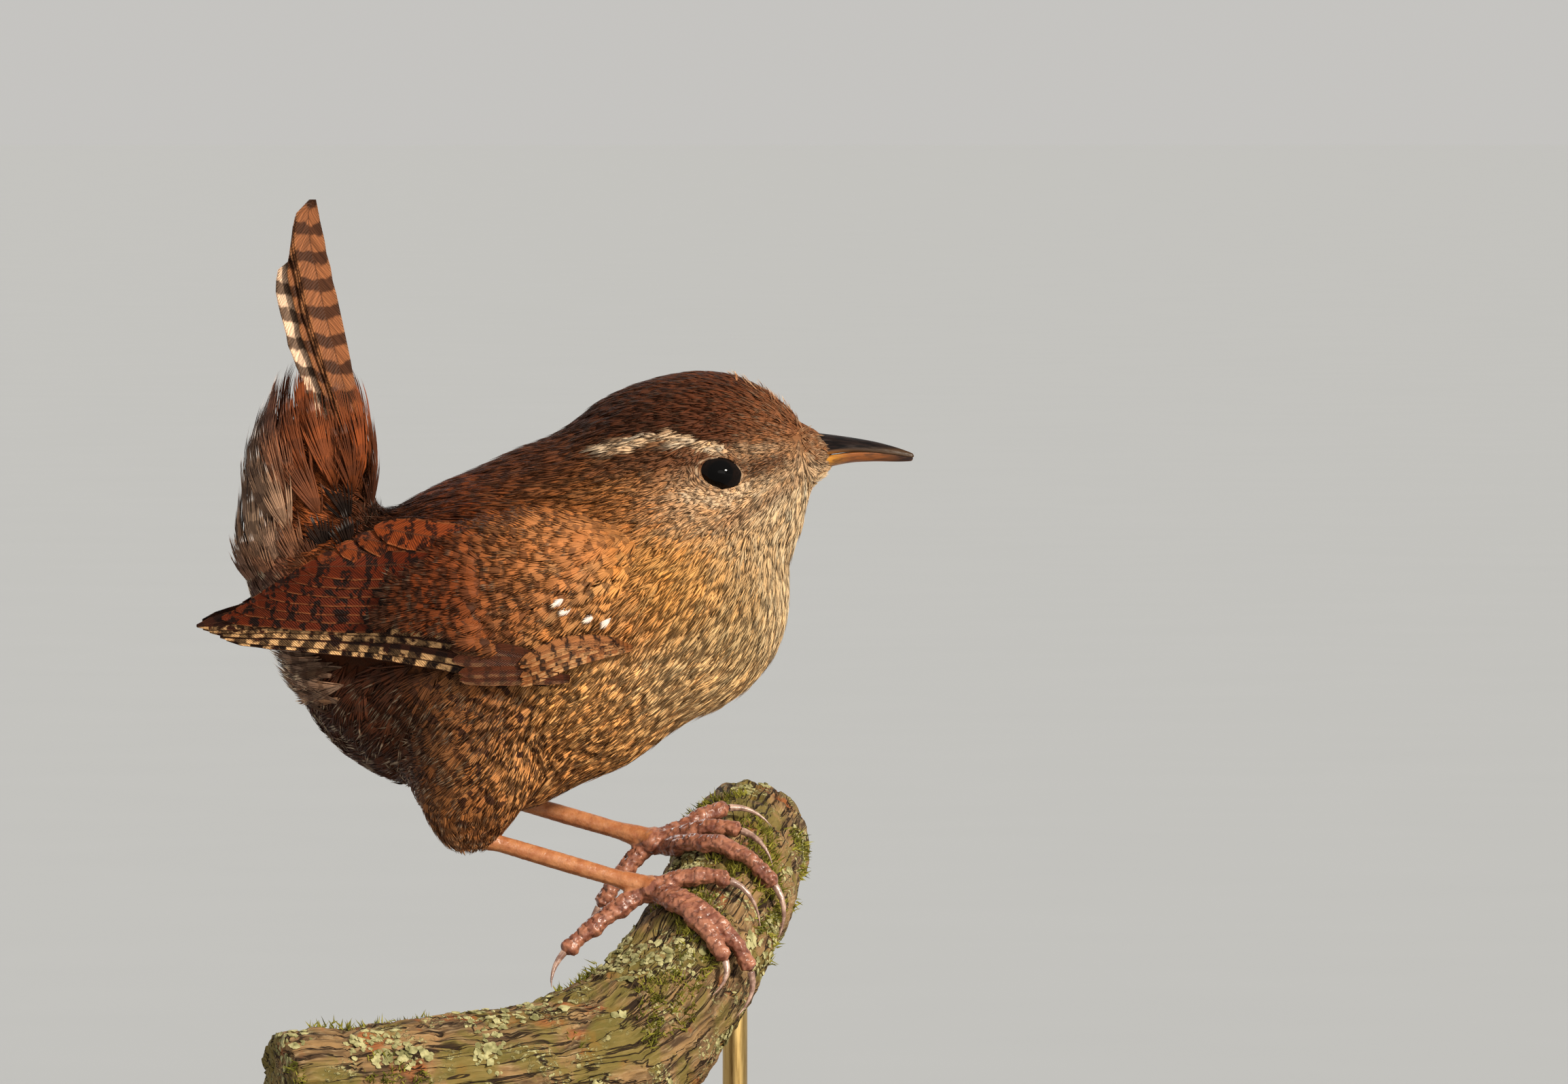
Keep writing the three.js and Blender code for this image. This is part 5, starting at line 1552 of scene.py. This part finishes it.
def lichen(rows, normals):
    """Low crusty plates, each a lobed disc, in patches."""
    random = np.random.default_rng(SEED + 80)
    picked = random.choice(len(rows), 9000)
    picked = picked[patchy(rows[picked], 0.14, 0.17, 5.0)]
    spots, out = rows[picked], unit(normals[picked])
    keep = np.unique(np.round(spots / 0.55).astype(int), axis=0, return_index=True)[1]
    spots, out = spots[keep], out[keep]
    across = unit(np.cross(out, random.normal(0, 1, out.shape)))
    beside = np.cross(out, across)
    sides = 9
    angle = np.linspace(0, 2 * math.pi, sides, endpoint=False)
    size = random.uniform(0.2, 0.6, len(spots))
    rim = size[:, None] * random.uniform(0.6, 1.2, (len(spots), sides))
    ring = across[:, None] * (rim * np.cos(angle))[..., None]
    ring = ring + beside[:, None] * (rim * np.sin(angle))[..., None]
    top = (spots + out * random.uniform(0.12, 0.28, (len(spots), 1)))[:, None]
    edge = spots[:, None] + ring + out[:, None] * random.uniform(0.0, 0.2, (len(spots), sides, 1))
    under = (spots - out * 0.35)[:, None]
    verts = np.concatenate([top, edge, under], axis=1)
    pattern = []
    for k in range(sides):
        ahead = 1 + (k + 1) % sides
        pattern += [(0, 1 + k, ahead), (sides + 1, ahead, 1 + k)]
    triangles = np.array(pattern)[None] + (np.arange(len(spots)) * (sides + 2))[:, None, None]
    material = growth_finish("lichen_crust", (116, 112, 72), (182, 174, 126))
    verts, triangles = verts.reshape(-1, 3), triangles.reshape(-1, 3)
    dress(triangle_piece("perch_lichen", verts, triangles, material, smooth=False), "bark")


def moss(rows, normals):
    """Tufts of short pointed blades on the upper side of the branch."""
    random = np.random.default_rng(SEED + 81)
    picked = random.choice(len(rows), 5000, replace=False)
    picked = picked[patchy(rows[picked], 0.13, 0.16, 11.0) & (normals[picked, 2] > -0.2)]
    blades = 6
    spots = rows[picked].repeat(blades, 0) + random.normal(0, 0.3, (len(picked) * blades, 3))
    out = unit(unit(normals[picked]).repeat(blades, 0) + random.normal(0, 0.5, spots.shape))
    across = unit(np.cross(out, random.normal(0, 1, out.shape)))
    beside = np.cross(out, across)
    wide = random.uniform(0.09, 0.16, (len(spots), 1))
    tall = random.uniform(0.4, 1.1, (len(spots), 1))
    corners = [
        spots - out * 0.3 + wide * (across * math.cos(turn) + beside * math.sin(turn))
        for turn in (0, 2.1, 4.2)]
    verts = np.stack([*corners, spots + out * tall], axis=1)
    pattern = np.array([(0, 2, 1), (0, 1, 3), (1, 2, 3), (2, 0, 3)])
    triangles = pattern[None] + (np.arange(len(spots)) * 4)[:, None, None]
    material = growth_finish("moss", (84, 84, 30), (150, 142, 58))
    verts, triangles = verts.reshape(-1, 3), triangles.reshape(-1, 3)
    dress(triangle_piece("perch_moss", verts, triangles, material, smooth=False), "bark")


def make_perch():
    perch = copy_of("perch_bark", "perch")
    remesh(perch, 0.4)
    smooth_form(perch, 0.5, 3)
    rows = points_of(perch)
    normals = normals_of(perch)
    place = along_branch(rows)
    lumps = np.array([noise.fractal(Vector(row) * 0.3, 0.8, 2.1, 4) for row in rows])
    stretched = place * np.array([0.14, 0.8, 0.8])
    cracks = np.array([abs(noise.noise(Vector(row))) for row in stretched])
    rows = rows + normals * (0.4 * lumps - 0.5 * np.exp(-(cracks / 0.07) ** 2))[:, None]
    set_points(perch, rows)
    paint_points(perch, "grain", place)
    shade_smooth(perch)
    perch.data.materials.append(bark_finish())
    lichen(rows, normals)
    moss(rows, normals)
    return dress(perch, "bark", "perch")


# Stand

def wood_finish():
    finish = Finish("turned_wood", 0.35, 0.5, Coat_Weight=0.25, Coat_Roughness=0.25)
    place = finish.place((1, 0.12, 1))
    rings = finish.noise(place, 0.35, 5, 1.4)
    pores = finish.noise(finish.place((4, 0.3, 4)), 1.2, 3)
    colour = finish.blend(rings, 0.3, 0.7, tone(72, 42, 26), tone(124, 78, 48))
    colour = finish.mix(finish.step(pores, 0.6, 0.75, 0.0, 0.5), colour, tone(44, 26, 18))
    finish.colour(colour)
    finish.bump(pores, 0.05, 0.4)
    return finish.material


def brass_finish():
    finish = Finish("brushed_brass", 0.3, 0.5, Metallic=1.0)
    streak = finish.noise(finish.place((1, 1, 0.08)), 3.0, 3)
    finish.colour(finish.blend(streak, 0.3, 0.7, tone(176, 142, 84), tone(206, 174, 112)))
    finish.rough(finish.step(streak, 0.3, 0.7, 0.24, 0.4))
    return finish.material


BASE_RADIUS = 42.0
BASE_HEIGHT = 5.0


def round_edges(piece, width, segments):
    modifier = piece.modifiers.new("Rounded", "BEVEL")
    modifier.width = width * MM
    modifier.segments = segments
    modifier.angle_limit = math.radians(40)
    apply_all(piece)
    bpy.ops.object.shade_smooth_by_angle(angle=math.radians(30))


def make_stand():
    base = primitive("stand_foot", bpy.ops.mesh.primitive_cylinder_add, vertices=160,
                     radius=BASE_RADIUS * MM, depth=BASE_HEIGHT * MM, location=(0, 0, BASE_HEIGHT / 2 * MM))
    bpy.ops.object.mode_set(mode="EDIT")
    bpy.ops.mesh.select_all(action="DESELECT")
    shape = bmesh.from_edit_mesh(base.data)
    for face in shape.faces:
        face.select = face.normal.z > 0.9
    bmesh.update_edit_mesh(base.data)
    # A shallow step near the rim of the upper face
    bpy.ops.mesh.inset(thickness=3.2 * MM)
    bpy.ops.mesh.inset(thickness=0.5 * MM, depth=-0.5 * MM)
    bpy.ops.mesh.inset(thickness=0.8 * MM)
    bpy.ops.mesh.inset(thickness=0.5 * MM, depth=0.5 * MM)
    bpy.ops.object.mode_set(mode="OBJECT")
    round_edges(base, 0.8, 4)
    base.data.materials.append(wood_finish())
    dress(base, "stand_wood", "stand_base")
    brass = brass_finish()
    for number in (1, 2):
        low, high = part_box(f"stand_rod_{number}")
        middle = (low + high) / 2
        radius = (high.x - low.x) / 2
        rod = primitive(f"stand_pin_{number}", bpy.ops.mesh.primitive_cylinder_add, vertices=64,
                        radius=radius, depth=high.z - low.z, location=middle)
        round_edges(rod, 0.3, 3)
        rod.data.materials.append(brass)
        dress(rod, "stand_rod", f"stand_rod_{number}")


# Studio

FRAME_MIDDLE = Vector((21.8, 0, 77.3)) * MM
FRAME_WIDTH = 171.0 * MM
FLOOR_SIZE = 40
CAMERA_FAR = 1.5
CAMERA_HEIGHT = math.radians(2)


def studio():
    floor = primitive("floor", bpy.ops.mesh.primitive_plane_add, size=FLOOR_SIZE, location=(0, 0, 0))
    paper = Finish("pale_floor", 0.8, 0.2)
    grain = paper.noise(paper.place(), 0.02, 3)
    paper.colour(paper.mix(grain, tone(171, 173, 175), tone(174, 176, 178)))
    floor.data.materials.append(paper.material)
    world = bpy.data.worlds.new("studio")
    bpy.context.scene.world = world
    world.use_nodes = True
    sky = world.node_tree.nodes["Background"]
    sky.inputs["Color"].default_value = (0.80, 0.785, 0.757, 1)
    sky.inputs["Strength"].default_value = 0.7
    soft_light("key", (0.85, -0.9, 0.62), 8, 4.0, (1.0, 0.93, 0.80))
    soft_light("fill", (0.3, -1.0, 0.12), 40, 0.6, (1.0, 0.95, 0.88))
    soft_light("rim", (-0.5, 0.9, 0.6), 25, 0.7, (0.97, 0.98, 1.0))


def soft_light(name, spot, spread, power, colour):
    """A wide soft light from that side, as even on the floor as on the bird."""
    lamp = bpy.data.lights.new(name, "SUN")
    lamp.angle = math.radians(spread)
    lamp.energy = power
    lamp.color = colour
    holder = linked(name, lamp)
    holder.location = spot
    holder.rotation_euler = (-Vector(spot)).to_track_quat("-Z", "Y").to_euler()


def camera():
    lens = bpy.data.cameras.new("view")
    holder = linked("view", lens)
    lens.sensor_width = 36
    lens.lens = 36 * CAMERA_FAR / FRAME_WIDTH
    lens.clip_start = 0.01
    lens.clip_end = 100
    back = Vector((0, -math.cos(CAMERA_HEIGHT), math.sin(CAMERA_HEIGHT)))
    holder.location = FRAME_MIDDLE + back * CAMERA_FAR
    holder.rotation_euler = (-back).to_track_quat("-Z", "Y").to_euler()
    bpy.context.scene.camera = holder
    bpy.context.scene.view_settings.view_transform = "Standard"


camera()
studio()
skin = make_skin()
body_coat(skin)
face_tufts()
rear_fluff()
tail_coverts()
tail()
for side, name in ((-1, "right"), (1, "left")):
    wing(side, name)
ball, rim = eye_finish(), lid_finish()
for side, name in ((-1, "right"), (1, "left")):
    make_eye(side, name, ball, rim)
bill_form("bill_top", UPPER_BILL, True, bill_finish("bill_dark_horn", True), "bill_upper", "bill_upper")
bill_form("bill_bottom", LOWER_BILL, False, bill_finish("bill_pale_horn", False), "bill_lower", "bill_lower")
scales = leg_finish()
for name in FEET:
    make_leg(name, scales)
make_claws(claw_finish())
make_perch()
make_stand()

bpy.context.view_layer.update()
